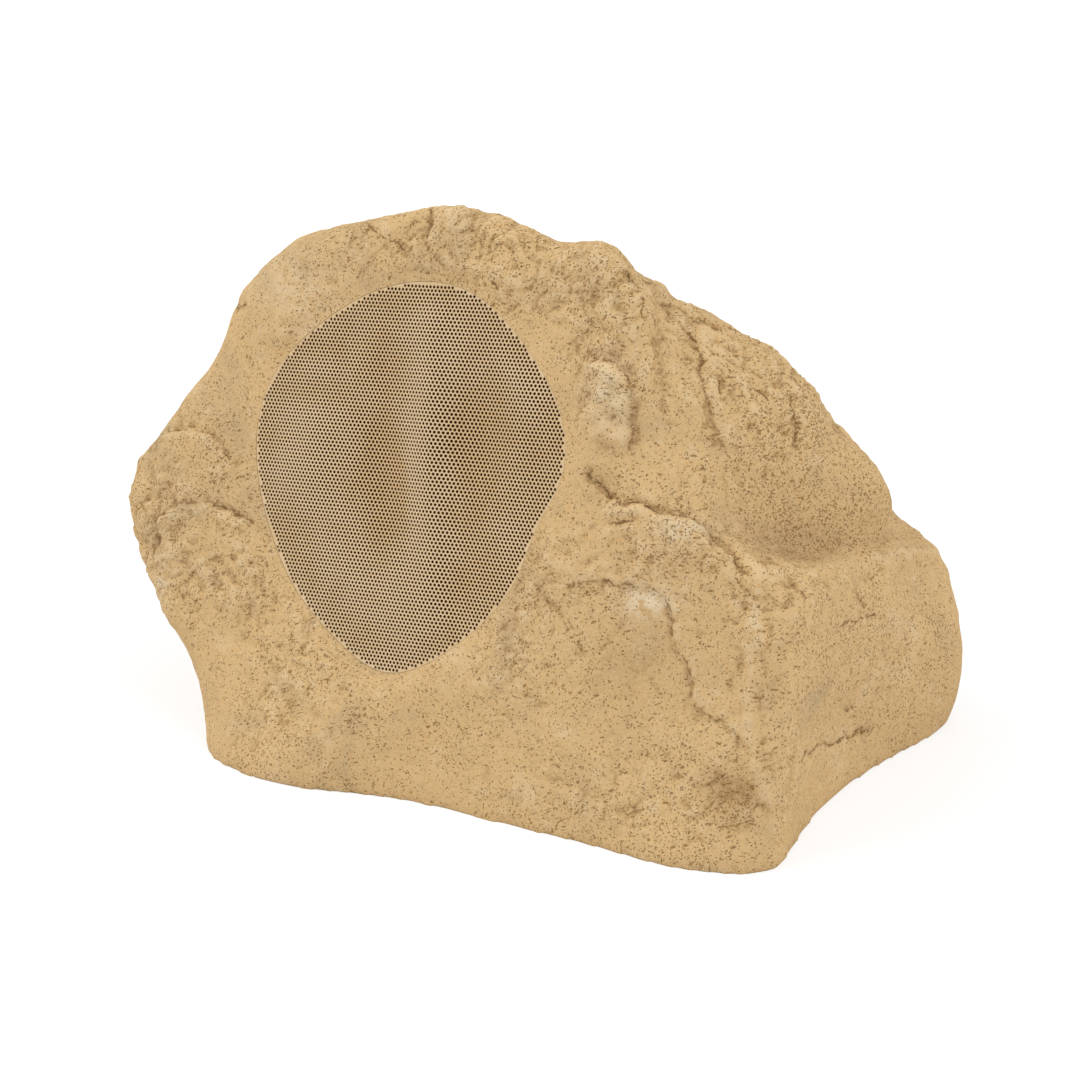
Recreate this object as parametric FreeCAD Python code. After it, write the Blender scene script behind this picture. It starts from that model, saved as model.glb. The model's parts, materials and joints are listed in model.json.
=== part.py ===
import FreeCAD, Part
import math
import os
from FreeCAD import Placement, Rotation, Vector

# Garden loudspeaker moulded as a sandstone rock, with a coaxial driver behind a pressed grille.
# Lengths are millimetres and angles degrees. Azimuth 0 faces -Y, the grille's side, and 90 faces +X.
# The pieces are worked out around the rock's core, then moved to put the origin under the middle of the rock.

# Rock shell
ROCK_CORE = Vector(-25, 45, 130)
FACET_SHARPNESS = 30
ROCK_WALL = 7.0
AZIMUTH_STEPS = 96
ELEVATION_STEPS = 25
HOLLOW_AZIMUTH_STEPS = 48
HOLLOW_ELEVATION_STEPS = 13
STEEPEST_FLOOR = -85.0
FLOOR_HALVINGS = 40
SEW_TOLERANCE = 0.001

# Facets of the rock: azimuth and elevation of the outward normal, distance from the core
FRONT = (0, 17, 95)
FRONT_RIGHT = (14, 13, 119)
UNDERSIDE = (0, -90, 190)
BACK = (178, 8, 144.5)
BACK_RIGHT_LOW = (138, 2, 231)
RIGHT_WALL = (88, 4, 197)
LEFT_UNDER = (-72, -32, 209.5)
LEFT_UPPER = (-80, 22, 215.5)
LEFT_TOP = (-68, 54, 199)
LEFT_CROWN = (-150, 66, 155.5)
CROWN = (165, 67, 148)
RIGHT_SLOPE = (74, 28, 158)
BACK_RIGHT = (140, 40, 145)
BACK_TOP = (185, 48, 141.5)
BACK_LEFT = (-130, 10, 173)
LEDGE = (119, 68, 66)
LEDGE_BACK = (178, 8, 140.5)
LEDGE_LEFT = (-90, 0, 35)

# The rock is the tall block joined with the low block that carries the ledge on its right
TALL_BLOCK = (
    FRONT, FRONT_RIGHT, UNDERSIDE, BACK, RIGHT_WALL, LEFT_UNDER, LEFT_UPPER, LEFT_TOP, LEFT_CROWN,
    CROWN, RIGHT_SLOPE, BACK_RIGHT, BACK_TOP, BACK_LEFT, BACK_RIGHT_LOW,
)
LEDGE_BLOCK = (FRONT, FRONT_RIGHT, UNDERSIDE, LEDGE_BACK, BACK_RIGHT_LOW, RIGHT_WALL, LEDGE, LEDGE_LEFT)
ROCK_BLOCKS = (TALL_BLOCK, LEDGE_BLOCK)

# Swells and hollows: azimuth and elevation of the middle, height, width along, width up
RIGHT_BASE_HOLLOW = (94, -33, -20, 20, 12)
RIGHT_FOOT = (58, -36, 6, 7, 8)
LEDGE_CORNER = (116, -4, -9, 8, 8)
LEFT_BULGE = (-66, 0, 9, 9, 8)
LEFT_WAIST = (-66, 22, -6, 6, 6)
LEFT_KNUCKLE = (-66, 38, 4, 7, 6)
FRONT_FOOT = (-26, -38, 20, 12, 7)
FRONT_UNDERCUT = (18, -45, -18, 24, 9)
FRONT_DISH = (34, -12, -6, 12, 12)
SCOOP_EDGE = (60, 28, -9, 8, 10)
BROW_DIP = (30, 66, -5, 6, 6)
SLOPE_DIP = (82, 48, -9, 7, 7)
SLOPE_KNOB = (98, 32, 6, 8, 7)
WALL_SWELL = (118, -22, 9, 7, 8)
BACK_SWELL = (190, -8, 8, 24, 16)
BACK_HOLLOW = (222, 18, -12, 16, 12)
REAR_SHOULDER = (160, 22, 8, 14, 10)
ROCK_LUMPS = (
    RIGHT_BASE_HOLLOW, RIGHT_FOOT, LEDGE_CORNER, LEFT_BULGE, LEFT_WAIST, LEFT_KNUCKLE, FRONT_FOOT,
    FRONT_UNDERCUT, FRONT_DISH, SCOOP_EDGE, BROW_DIP, SLOPE_DIP, SLOPE_KNOB, WALL_SWELL, BACK_SWELL,
    BACK_HOLLOW, REAR_SHOULDER,
)

# Base plate, its seal, the inward ledge that they close against, and their screws
BASE_LEDGE = 14.0
LEDGE_HEIGHT = 10.0
PLATE_THICKNESS = 6.0
PLATE_CLEARANCE = 0.5
SEAL_THICKNESS = 2.0
BASE_STEPS = 48
BASE_SCREW_AZIMUTHS = (-150, -105, -60, -25, 20, 60, 110, 155)
BASE_SCREW_RADIUS = 2.0
BASE_SCREW_HEAD_RADIUS = 4.2
BASE_SCREW_HEAD_HEIGHT = 2.4
BASE_SCREW_LENGTH = 15.0
SCREW_CLEARANCE = 0.3
THREAD_CLEARANCE = 0.05
PILOT_SPARE = 1.0

# Grille: its place and lean, and its outline as angles and radii about that place
GRILLE_CENTRE = Vector(-64, -41, 166)
FACE_LEAN = 17.0
GRILLE_OUTLINE = (
    (0, 94), (20, 105), (52, 105), (78, 108.5), (105, 104.5), (133, 101), (160, 103.5), (182, 98),
    (205, 92), (230, 92.5), (255, 98), (274, 106), (300, 97.5), (335, 91),
)
GRILLE_SHEET = 1.2
GRILLE_RIM_DEPTH = 10.0
GRILLE_CLEARANCE = 0.4
GRILLE_SEAT = 5.0
GRILLE_LAND = 9.0
POCKET_SIDES = 72
GRILLE_HOLE_RADIUS = 6.2
GRILLE_HOLE_PITCH = 16.4
GRILLE_HOLE_MARGIN = 4.0
GRILLE_ROW_TURN = 5.0
CLOTH_THICKNESS = 0.6
CLOTH_CLEARANCE = 0.4

# Baffle behind the grille
BAFFLE_RECESS = 30.0
BAFFLE_THICKNESS = 10.0
OPENING_CLEARANCE = 1.5
CUT_SPARE = 60.0

# Driver frame
GASKET_THICKNESS = 2.0
FLANGE_RADIUS = 83.0
FLANGE_THICKNESS = 3.5
FLANGE_BORE = 68.0
BASKET_WALL = 2.0
BASKET_SHOULDER = 71.0
SPIDER_SEAT_DEPTH = 36.5
SPIDER_SEAT_RADIUS = 45.0
CUP_RADIUS = 39.0
CUP_DEPTH = 9.0
CUP_BORE = 16.5
WINDOW_COUNT = 6
WINDOW_WIDTH = 34.0
WINDOW_TOP = 9.0
WINDOW_BOTTOM = 31.0
DRIVER_SCREW_COUNT = 6
DRIVER_SCREW_INSET = 5.0
DRIVER_SCREW_RADIUS = 1.9
DRIVER_SCREW_HEAD_RADIUS = 3.6
DRIVER_SCREW_HEAD_HEIGHT = 2.4
DRIVER_SCREW_LENGTH = 13.0

# Cone, surround and spider
ROLL_RADIUS = 5.0
ROLL_MIDDLE = 63.0
SURROUND_THICKNESS = 0.8
SURROUND_LIP = 5.0
TRIM_RING_HEIGHT = 2.0
CONE_RADIUS = 57.0
CONE_THICKNESS = 1.0
CONE_DEPTH = 22.5
SPIDER_THICKNESS = 0.8
SPIDER_WAVES = 5
SPIDER_WAVE_HEIGHT = 1.5
SPIDER_LIP = 5.0

# Voice coil and magnet
FORMER_RADIUS = 13.0
FORMER_WALL = 0.3
COIL_WINDING = 0.8
COIL_LENGTH = 12.0
COIL_TAIL = 5.0
GAP_CLEARANCE = 0.6
TOP_PLATE_RADIUS = 43.0
TOP_PLATE_THICKNESS = 6.0
MAGNET_RADIUS = 45.0
MAGNET_BORE = 20.0
MAGNET_THICKNESS = 18.0
YOKE_RADIUS = 42.0
YOKE_THICKNESS = 6.0

# Tweeter on its post
POST_RADIUS = 4.0
POST_BORE = 2.2
POST_CLEARANCE = 0.05
POST_COLLAR_RADIUS = 8.0
POST_COLLAR_HEIGHT = 4.0
POST_HEIGHT = 28.0
POST_TAIL = 5.0
POST_NUT_RADIUS = 7.5
POST_NUT_HEIGHT = 4.0
POD_RADIUS = 19.0
POD_WALL = 2.0
POD_TAPER = 9.0
POD_HEIGHT = 23.0
POD_FLOOR = 11.0
TWEETER_MAGNET_RADIUS = 15.0
TWEETER_MAGNET_HEIGHT = 6.0
DOME_RADIUS = 11.5
DOME_HEIGHT = 4.0
DOME_THICKNESS = 0.5
FACE_RING_BORE = 13.0
FACE_RING_HEIGHT = 2.0

# Terminals on the driver's cup
STRIP_WIDTH = 20.0
STRIP_DEPTH = 9.0
STRIP_CLEARANCE = 0.3
TAB_LENGTH = 8.0
TAB_WIDTH = 4.8
TAB_THICKNESS = 0.8
TAB_SPACING = 10.0

# Cable gland in the rear wall
GLAND_AZIMUTH = 135.0
GLAND_ELEVATION = -22.0
GLAND_SEAT_SINK = 4.0
GLAND_SEAT_RADIUS = 17.0
GLAND_THREAD_RADIUS = 8.0
GLAND_BORE = 5.0
GLAND_FLANGE_RADIUS = 11.5
GLAND_FLANGE_HEIGHT = 4.0
GLAND_NECK = 9.0
GLAND_WASHER_THICKNESS = 1.5
GLAND_NUT_RADIUS = 12.5
GLAND_NUT_HEIGHT = 4.5
GLAND_TAIL = 2.0
GLAND_CAP_RADIUS = 11.5
GLAND_CAP_LENGTH = 13.0
GLAND_CAP_END = 3.0
GLAND_CAP_BORE = 4.0
GLAND_SEAL_BORE = 3.0
GLAND_CLEARANCE = 0.1

# Crossover on the base plate
BOARD_CENTRE = Vector(62, 118, 0)
BOARD_LENGTH = 90.0
BOARD_WIDTH = 60.0
BOARD_THICKNESS = 1.6
STANDOFF_HEIGHT = 10.0
STANDOFF_RADIUS = 3.5
STANDOFF_INSET = 5.0
BOARD_SCREW_RADIUS = 1.5
BOARD_SCREW_HEAD_RADIUS = 2.8
BOARD_SCREW_HEAD_HEIGHT = 2.0
INDUCTOR_RADIUS = 17.0
INDUCTOR_BORE = 6.5
INDUCTOR_HEIGHT = 15.0
INDUCTOR_PLACE = (22, 8)
CAPACITOR_LARGE_RADIUS = 7.5
CAPACITOR_LARGE_LENGTH = 28.0
CAPACITOR_LARGE_PLACE = (-18, 18)
CAPACITOR_SMALL_RADIUS = 5.0
CAPACITOR_SMALL_LENGTH = 20.0
CAPACITOR_SMALL_PLACE = (-18, 2)
RESISTOR_LENGTH = 25.0
RESISTOR_SIDE = 6.5
RESISTOR_PLACE = (16, -20)
BLOCK_LENGTH = 26.0
BLOCK_WIDTH = 11.0
BLOCK_HEIGHT = 12.0
BLOCK_PLACE = (-22, -18)
BLOCK_POLE_SPACING = 12.0

# Leads inside the rock, with the way points between their ends
LEAD_RADIUS = 1.8
BEND_SHARE = 0.45
WOOFER_LEAD_RUN = 32.0
TWEETER_LEAD_RUN = 28.0
LEAD_DROP = 18.0
WOOFER_LEAD_POINTS = (Vector(42, 48, 110), Vector(42, 80, 72))
TWEETER_LEAD_POINTS = (Vector(-46, 116, 100), Vector(-10, 128, 74), Vector(24, 120, 56))

# Heights along the driver's axis, from the grille's outer face at zero, outwards positive
BAFFLE_FACE = -BAFFLE_RECESS
BAFFLE_BACK = BAFFLE_FACE - BAFFLE_THICKNESS
FLANGE_BOTTOM = BAFFLE_FACE + GASKET_THICKNESS
FLANGE_TOP = FLANGE_BOTTOM + FLANGE_THICKNESS
SPIDER_SEAT = FLANGE_TOP - SPIDER_SEAT_DEPTH
BASKET_BOTTOM = SPIDER_SEAT - CUP_DEPTH
TOP_PLATE_BOTTOM = BASKET_BOTTOM - TOP_PLATE_THICKNESS
MAGNET_BOTTOM = TOP_PLATE_BOTTOM - MAGNET_THICKNESS
YOKE_BOTTOM = MAGNET_BOTTOM - YOKE_THICKNESS
COIL_MIDDLE = BASKET_BOTTOM - TOP_PLATE_THICKNESS / 2
COIL_BOTTOM = COIL_MIDDLE - COIL_LENGTH / 2
CONE_NECK = FLANGE_TOP - CONE_DEPTH
POST_TOP = BASKET_BOTTOM + POST_HEIGHT
POD_TOP = POST_TOP + POD_HEIGHT
POD_CAVITY = POST_TOP + POD_FLOOR
DRIVER_SCREW_CIRCLE = FLANGE_RADIUS - DRIVER_SCREW_INSET
OPENING_RADIUS = BASKET_SHOULDER + OPENING_CLEARANCE
POLE_RADIUS = FORMER_RADIUS - FORMER_WALL - GAP_CLEARANCE
COIL_RADIUS = FORMER_RADIUS + COIL_WINDING
LIP_TOP = FLANGE_TOP + SURROUND_THICKNESS

# Heights above the ground
SEAL_BOTTOM = PLATE_THICKNESS
LEDGE_BOTTOM = SEAL_BOTTOM + SEAL_THICKNESS
LEDGE_TOP = LEDGE_BOTTOM + LEDGE_HEIGHT
BOARD_BOTTOM = PLATE_THICKNESS + STANDOFF_HEIGHT
BOARD_TOP = BOARD_BOTTOM + BOARD_THICKNESS

FACE_FRAME = Placement(GRILLE_CENTRE, Rotation(Vector(1, 0, 0), 90 - FACE_LEAN))


# Rock surface

def heading(azimuth, elevation):
    """Unit vector of an azimuth and an elevation."""
    turn = math.radians(azimuth)
    rise = math.radians(elevation)
    return Vector(math.sin(turn) * math.cos(rise), -math.cos(turn) * math.cos(rise), math.sin(rise))


def block_radius(direction, facets, inset):
    """Distance from the core to a block of flat facets with softly rounded edges."""
    total = 0.0
    for azimuth, elevation, distance in facets:
        facing = direction.dot(heading(azimuth, elevation))
        if facing > 0:
            total += (facing / (distance - inset)) ** FACET_SHARPNESS
    return total ** (-1.0 / FACET_SHARPNESS)


def lump_height(azimuth, elevation, lump):
    """Height of one soft swell or hollow at a place on the rock."""
    middle_azimuth, middle_elevation, height, width_along, width_up = lump
    along = (azimuth - middle_azimuth + 180) % 360 - 180
    along *= math.cos(math.radians(middle_elevation)) / width_along
    up = (elevation - middle_elevation) / width_up
    return height * math.exp(-0.5 * (along * along + up * up))


def skin_point(azimuth, elevation, inset):
    """Point on the rock's skin, or on a surface inset from it."""
    direction = heading(azimuth, elevation)
    radius = max(block_radius(direction, facets, inset) for facets in ROCK_BLOCKS)
    radius += sum(lump_height(azimuth, elevation, lump) for lump in ROCK_LUMPS)
    return ROCK_CORE + direction * radius


def floor_elevation(azimuth, inset, floor):
    """Elevation at which the skin comes down to a floor height."""
    low = STEEPEST_FLOOR
    high = 0.0
    for _ in range(FLOOR_HALVINGS):
        middle = (low + high) / 2
        if skin_point(azimuth, middle, inset).z > floor:
            high = middle
        else:
            low = middle
    return high


def skin_ring(inset, floor, steps):
    """Points where the skin meets a floor height, once round."""
    points = []
    for index in range(steps):
        azimuth = index * 360.0 / steps
        point = skin_point(azimuth, floor_elevation(azimuth, inset, floor), inset)
        points.append(Vector(point.x, point.y, floor))
    return points


def rock_solid(inset, floor, azimuth_steps, elevation_steps):
    """Closed solid of flat triangles under the skin and above a floor height."""
    step = 360.0 / azimuth_steps
    lowest = [floor_elevation(index * step, inset, floor) for index in range(azimuth_steps)]

    def skin(column, level):
        """Skin point at a column and a level, which may lie halfway between two."""
        low = (lowest[math.floor(column) % azimuth_steps] + lowest[math.ceil(column) % azimuth_steps]) / 2
        return skin_point(column * step, low + (90 - low) * level / elevation_steps, inset)

    points = skin_ring(inset, floor, azimuth_steps)
    for level in range(1, elevation_steps):
        points.extend(skin(column, level) for column in range(azimuth_steps))
    crown_index = len(points)
    floor_index = crown_index + 1
    points.append(skin_point(0, 90, inset))
    points.append(Vector(ROCK_CORE.x, ROCK_CORE.y, floor))
    triangles = []
    last_row = (elevation_steps - 1) * azimuth_steps
    for column in range(azimuth_steps):
        following = (column + 1) % azimuth_steps
        triangles.append((floor_index, following, column))
        triangles.append((last_row + column, last_row + following, crown_index))
        for level in range(elevation_steps - 1):
            low = level * azimuth_steps
            high = low + azimuth_steps
            a, b, c, d = low + column, low + following, high + following, high + column
            middle = skin(column + 0.5, level + 0.5)
            rising = (points[a] + points[c]) * 0.5 - middle
            falling = (points[b] + points[d]) * 0.5 - middle
            if rising.Length < falling.Length:
                triangles.extend([(a, b, c), (a, c, d)])
            else:
                triangles.extend([(a, b, d), (b, c, d)])
    shell = Part.Shape()
    shell.makeShapeFromMesh((points, triangles), SEW_TOLERANCE)
    return Part.Solid(Part.Shell(shell.Faces))


def prism(points, low, high):
    """Straight-sided solid on a flat outline, between two heights."""
    flat = [Vector(point.x, point.y, low) for point in points]
    return Part.Face(Part.makePolygon(flat + flat[:1])).extrude(Vector(0, 0, high - low))


def disc(radius, low, high, x=0.0, y=0.0):
    """Upright cylinder between two heights."""
    return Part.makeCylinder(radius, high - low, Vector(x, y, low))


def ring(outer, inner, low, high, x=0.0, y=0.0):
    """Upright tube between two heights."""
    return disc(outer, low, high, x, y).cut(disc(inner, low, high, x, y))


def hexagon_corners(radius, height, x=0.0, y=0.0, turn=0.0):
    """Corners of a flat six-sided outline at a height."""
    corners = []
    for index in range(6):
        angle = math.radians(turn + 60 * index)
        corners.append(Vector(x + radius * math.cos(angle), y + radius * math.sin(angle), height))
    return corners


def hexagon(radius, low, high, x=0.0, y=0.0):
    """Upright six-sided prism between two heights."""
    return prism(hexagon_corners(radius, low, x, y), low, high)


def turned(profile):
    """Solid of revolution about Z of a closed profile of (radius, height) points."""
    points = [Vector(radius, 0, height) for radius, height in profile]
    return Part.Face(Part.makePolygon(points + points[:1])).revolve(Vector(0, 0, 0), Vector(0, 0, 1), 360)


def turned_edges(edges):
    """Solid of revolution about Z of a closed profile of edges."""
    return Part.Face(Part.Wire(edges)).revolve(Vector(0, 0, 0), Vector(0, 0, 1), 360)


def line(start, end):
    """Edge between two (radius, height) points."""
    return Part.LineSegment(Vector(start[0], 0, start[1]), Vector(end[0], 0, end[1])).toShape()


def arc(start, through, end):
    """Edge on a circle through three (radius, height) points."""
    corners = [Vector(point[0], 0, point[1]) for point in (start, through, end)]
    return Part.Arc(*corners).toShape()


def on_face(shape):
    """A shape built along the driver's axis, set behind the grille."""
    shape = shape.copy()
    shape.Placement = FACE_FRAME.multiply(shape.Placement)
    return shape


def around(count, radius):
    """Evenly spaced places on a circle, each with its angle."""
    places = []
    for index in range(count):
        angle = (index + 0.5) * 360.0 / count
        places.append((radius * math.cos(math.radians(angle)), radius * math.sin(math.radians(angle)), angle))
    return places


# Grille and its pocket

def grille_wire(offset, height):
    """Closed curve on the grille's outline, grown by an offset, at a height on the driver's axis."""
    points = []
    for angle, radius in GRILLE_OUTLINE:
        turn = math.radians(angle)
        points.append(Vector((radius + offset) * math.cos(turn), (radius + offset) * math.sin(turn), height))
    curve = Part.BSplineCurve()
    curve.interpolate(points, PeriodicFlag=True)
    return Part.Wire([curve.toShape()])


def grille_prism(offset, low, high):
    """Solid on the grille's outline, grown by an offset, between two heights on the driver's axis."""
    return Part.Face(grille_wire(offset, low)).extrude(Vector(0, 0, high - low))


def pocket_prism(offset, low, high):
    """Many-sided solid on the grille's outline, as faceted as the rock that it is cut from."""
    return prism(grille_wire(offset, low).discretize(POCKET_SIDES + 1)[:-1], low, high)


def outline_radius(angle):
    """Radius of the grille's outline at an angle."""
    corners = GRILLE_OUTLINE + ((GRILLE_OUTLINE[0][0] + 360, GRILLE_OUTLINE[0][1]),)
    angle %= 360
    for (angle_low, radius_low), (angle_high, radius_high) in zip(corners, corners[1:]):
        if angle_low <= angle <= angle_high:
            share = (angle - angle_low) / (angle_high - angle_low)
            return radius_low + share * (radius_high - radius_low)


def grille_hole_places():
    """Middles of the holes, on a lattice of rows half a pitch apart that stays inside the outline."""
    row_step = GRILLE_HOLE_PITCH * math.sin(math.radians(60))
    reach = int(max(radius for _, radius in GRILLE_OUTLINE) / row_step) + 1
    turn = Rotation(Vector(0, 0, 1), GRILLE_ROW_TURN)
    places = []
    for row in range(-reach, reach + 1):
        for column in range(-reach, reach + 1):
            along = (column + 0.5 * (row % 2)) * GRILLE_HOLE_PITCH
            place = turn.multVec(Vector(along, row * row_step, 0))
            edge = outline_radius(math.degrees(math.atan2(place.y, place.x)))
            if place.Length + GRILLE_HOLE_RADIUS + GRILLE_HOLE_MARGIN < edge:
                places.append(place)
    return places


def grille():
    """Pressed sheet with a folded rim that stands on the seat in the rock."""
    wires = [grille_wire(0, -GRILLE_SHEET)]
    for place in grille_hole_places():
        corners = hexagon_corners(GRILLE_HOLE_RADIUS, -GRILLE_SHEET, place.x, place.y, 30 + GRILLE_ROW_TURN)
        wires.append(Part.makePolygon(corners + corners[:1]))
    sheet = Part.Face(wires, "Part::FaceMakerBullseye").extrude(Vector(0, 0, GRILLE_SHEET))
    rim_wires = [grille_wire(0, -GRILLE_RIM_DEPTH), grille_wire(-GRILLE_SHEET, -GRILLE_RIM_DEPTH)]
    rim_height = GRILLE_RIM_DEPTH - GRILLE_SHEET
    rim = Part.Face(rim_wires, "Part::FaceMakerBullseye").extrude(Vector(0, 0, rim_height))
    return sheet.fuse(rim)


def grille_cloth():
    """Dark scrim glued to the back of the sheet, inside its rim."""
    return grille_prism(-GRILLE_SHEET - CLOTH_CLEARANCE, -GRILLE_SHEET - CLOTH_THICKNESS, -GRILLE_SHEET)


def driver_pilot_holes():
    """Blind holes in the baffle for the driver's screws."""
    depth = DRIVER_SCREW_LENGTH - FLANGE_THICKNESS - GASKET_THICKNESS + PILOT_SPARE
    holes = []
    for x, y, _ in around(DRIVER_SCREW_COUNT, DRIVER_SCREW_CIRCLE):
        holes.append(disc(DRIVER_SCREW_RADIUS + THREAD_CLEARANCE, BAFFLE_FACE - depth, BAFFLE_FACE, x, y))
    return holes


# Gland frame: along +Y from its flat seat

def gland_frame():
    """Frame on the flat seat in the rear wall, with Z pointing out of the rock."""
    skin = skin_point(GLAND_AZIMUTH, GLAND_ELEVATION, 0)
    seat = Vector(skin.x, skin.y - GLAND_SEAT_SINK, skin.z)
    return Placement(seat, Rotation(Vector(1, 0, 0), -90))


def on_gland(shape):
    """A shape built along the gland's axis, set in the rear wall."""
    shape = shape.copy()
    shape.Placement = gland_frame().multiply(shape.Placement)
    return shape


# Enclosure

def base_screw_places():
    """Places of the base screws, along the middle of the inward ledge."""
    inset = ROCK_WALL + BASE_LEDGE / 2
    return [skin_point(azimuth, floor_elevation(azimuth, inset, 0), inset) for azimuth in BASE_SCREW_AZIMUTHS]


def rock_shell():
    """Hollow rock with a baffle, a pocket for the grille, a ledge for the base plate and a gland seat."""
    outside = rock_solid(0, 0, AZIMUTH_STEPS, ELEVATION_STEPS)
    hollow = rock_solid(ROCK_WALL, LEDGE_TOP, HOLLOW_AZIMUTH_STEPS, HOLLOW_ELEVATION_STEPS)
    baffle = on_face(pocket_prism(GRILLE_LAND, BAFFLE_BACK, CUT_SPARE))
    gland_cup = on_gland(disc(GLAND_SEAT_RADIUS + ROCK_WALL, -ROCK_WALL, CUT_SPARE))
    hollow = hollow.cut([baffle, gland_cup])
    cuts = [hollow]
    cuts.append(prism(skin_ring(ROCK_WALL, 0, BASE_STEPS), -PILOT_SPARE, LEDGE_BOTTOM))
    cuts.append(prism(skin_ring(ROCK_WALL + BASE_LEDGE, 0, BASE_STEPS), LEDGE_BOTTOM, LEDGE_TOP))
    cuts.append(on_face(pocket_prism(GRILLE_CLEARANCE, -GRILLE_RIM_DEPTH, CUT_SPARE)))
    cuts.append(on_face(pocket_prism(-GRILLE_SEAT, BAFFLE_FACE, -GRILLE_RIM_DEPTH)))
    cuts.append(on_face(disc(OPENING_RADIUS, BAFFLE_BACK, BAFFLE_FACE)))
    cuts.extend(on_face(hole) for hole in driver_pilot_holes())
    cuts.append(on_gland(disc(GLAND_SEAT_RADIUS, 0, CUT_SPARE)))
    cuts.append(on_gland(disc(GLAND_THREAD_RADIUS + GLAND_CLEARANCE, -ROCK_WALL, 0)))
    pilot_top = BASE_SCREW_LENGTH + PILOT_SPARE
    for place in base_screw_places():
        cuts.append(disc(BASE_SCREW_RADIUS + THREAD_CLEARANCE, LEDGE_BOTTOM, pilot_top, place.x, place.y))
    return outside.cut(cuts)


def base_plate():
    """Flat plate that closes the rock, flush with its rim."""
    plate = prism(skin_ring(ROCK_WALL + PLATE_CLEARANCE, 0, BASE_STEPS), 0, PLATE_THICKNESS)
    bore = BASE_SCREW_RADIUS + SCREW_CLEARANCE
    head = BASE_SCREW_HEAD_RADIUS + SCREW_CLEARANCE
    holes = []
    for place in base_screw_places():
        holes.append(disc(bore, 0, PLATE_THICKNESS, place.x, place.y))
        holes.append(Part.makeCone(head, bore, BASE_SCREW_HEAD_HEIGHT, Vector(place.x, place.y, 0)))
    for x, y in board_corners():
        holes.append(disc(BOARD_SCREW_RADIUS + SCREW_CLEARANCE, 0, PLATE_THICKNESS, x, y))
        holes.append(disc(BOARD_SCREW_HEAD_RADIUS + SCREW_CLEARANCE, 0, BOARD_SCREW_HEAD_HEIGHT, x, y))
    return plate.cut(holes)


def base_seal():
    """Flat rubber ring between the base plate and the ledge."""
    outer = prism(skin_ring(ROCK_WALL + PLATE_CLEARANCE, 0, BASE_STEPS), SEAL_BOTTOM, LEDGE_BOTTOM)
    inner = prism(skin_ring(ROCK_WALL + BASE_LEDGE, 0, BASE_STEPS), SEAL_BOTTOM, LEDGE_BOTTOM)
    holes = []
    for place in base_screw_places():
        holes.append(disc(BASE_SCREW_RADIUS + SCREW_CLEARANCE, SEAL_BOTTOM, LEDGE_BOTTOM, place.x, place.y))
    return outer.cut([inner] + holes)


def base_screws():
    """Countersunk screws that hold the base plate."""
    screws = []
    for place in base_screw_places():
        spot = Vector(place.x, place.y, 0)
        head = Part.makeCone(BASE_SCREW_HEAD_RADIUS, BASE_SCREW_RADIUS, BASE_SCREW_HEAD_HEIGHT, spot)
        screws.append(head.fuse(disc(BASE_SCREW_RADIUS, 0, BASE_SCREW_LENGTH, place.x, place.y)))
    return Part.makeCompound(screws)


# Cable gland

def gland_pieces():
    """Gland body, washer, locknut, rubber seal and clamping cap, on one axis through the rear wall."""
    flange_low = GLAND_WASHER_THICKNESS
    flange_high = flange_low + GLAND_FLANGE_HEIGHT
    neck_top = flange_high + GLAND_NECK
    tail = -ROCK_WALL - GLAND_NUT_HEIGHT - GLAND_TAIL
    thread = GLAND_THREAD_RADIUS
    body = hexagon(GLAND_FLANGE_RADIUS, flange_low, flange_high).fuse(disc(thread, tail, neck_top))
    body = body.cut(disc(GLAND_BORE, tail, neck_top))
    washer = ring(GLAND_FLANGE_RADIUS, thread + GLAND_CLEARANCE, 0, flange_low)
    nut_low = -ROCK_WALL - GLAND_NUT_HEIGHT
    nut = hexagon(GLAND_NUT_RADIUS, nut_low, -ROCK_WALL)
    nut = nut.cut(disc(thread + THREAD_CLEARANCE, nut_low, -ROCK_WALL))
    seal = ring(GLAND_BORE - THREAD_CLEARANCE, GLAND_SEAL_BORE, flange_high, neck_top)
    cap_top = flange_high + GLAND_CAP_LENGTH
    cap_end = cap_top - GLAND_CAP_END
    cap = hexagon(GLAND_CAP_RADIUS, flange_high, cap_end)
    cap_face = GLAND_CAP_RADIUS * math.cos(math.radians(30))
    cap = cap.fuse(Part.makeCone(cap_face, thread, GLAND_CAP_END, Vector(0, 0, cap_end)))
    cap = cap.cut(disc(thread + THREAD_CLEARANCE, flange_high, neck_top))
    cap = cap.cut(disc(GLAND_CAP_BORE, neck_top, cap_top))
    return {
        "gland_body": body, "gland_washer": washer, "gland_locknut": nut, "gland_seal": seal,
        "gland_cap": cap,
    }


# Driver

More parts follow.
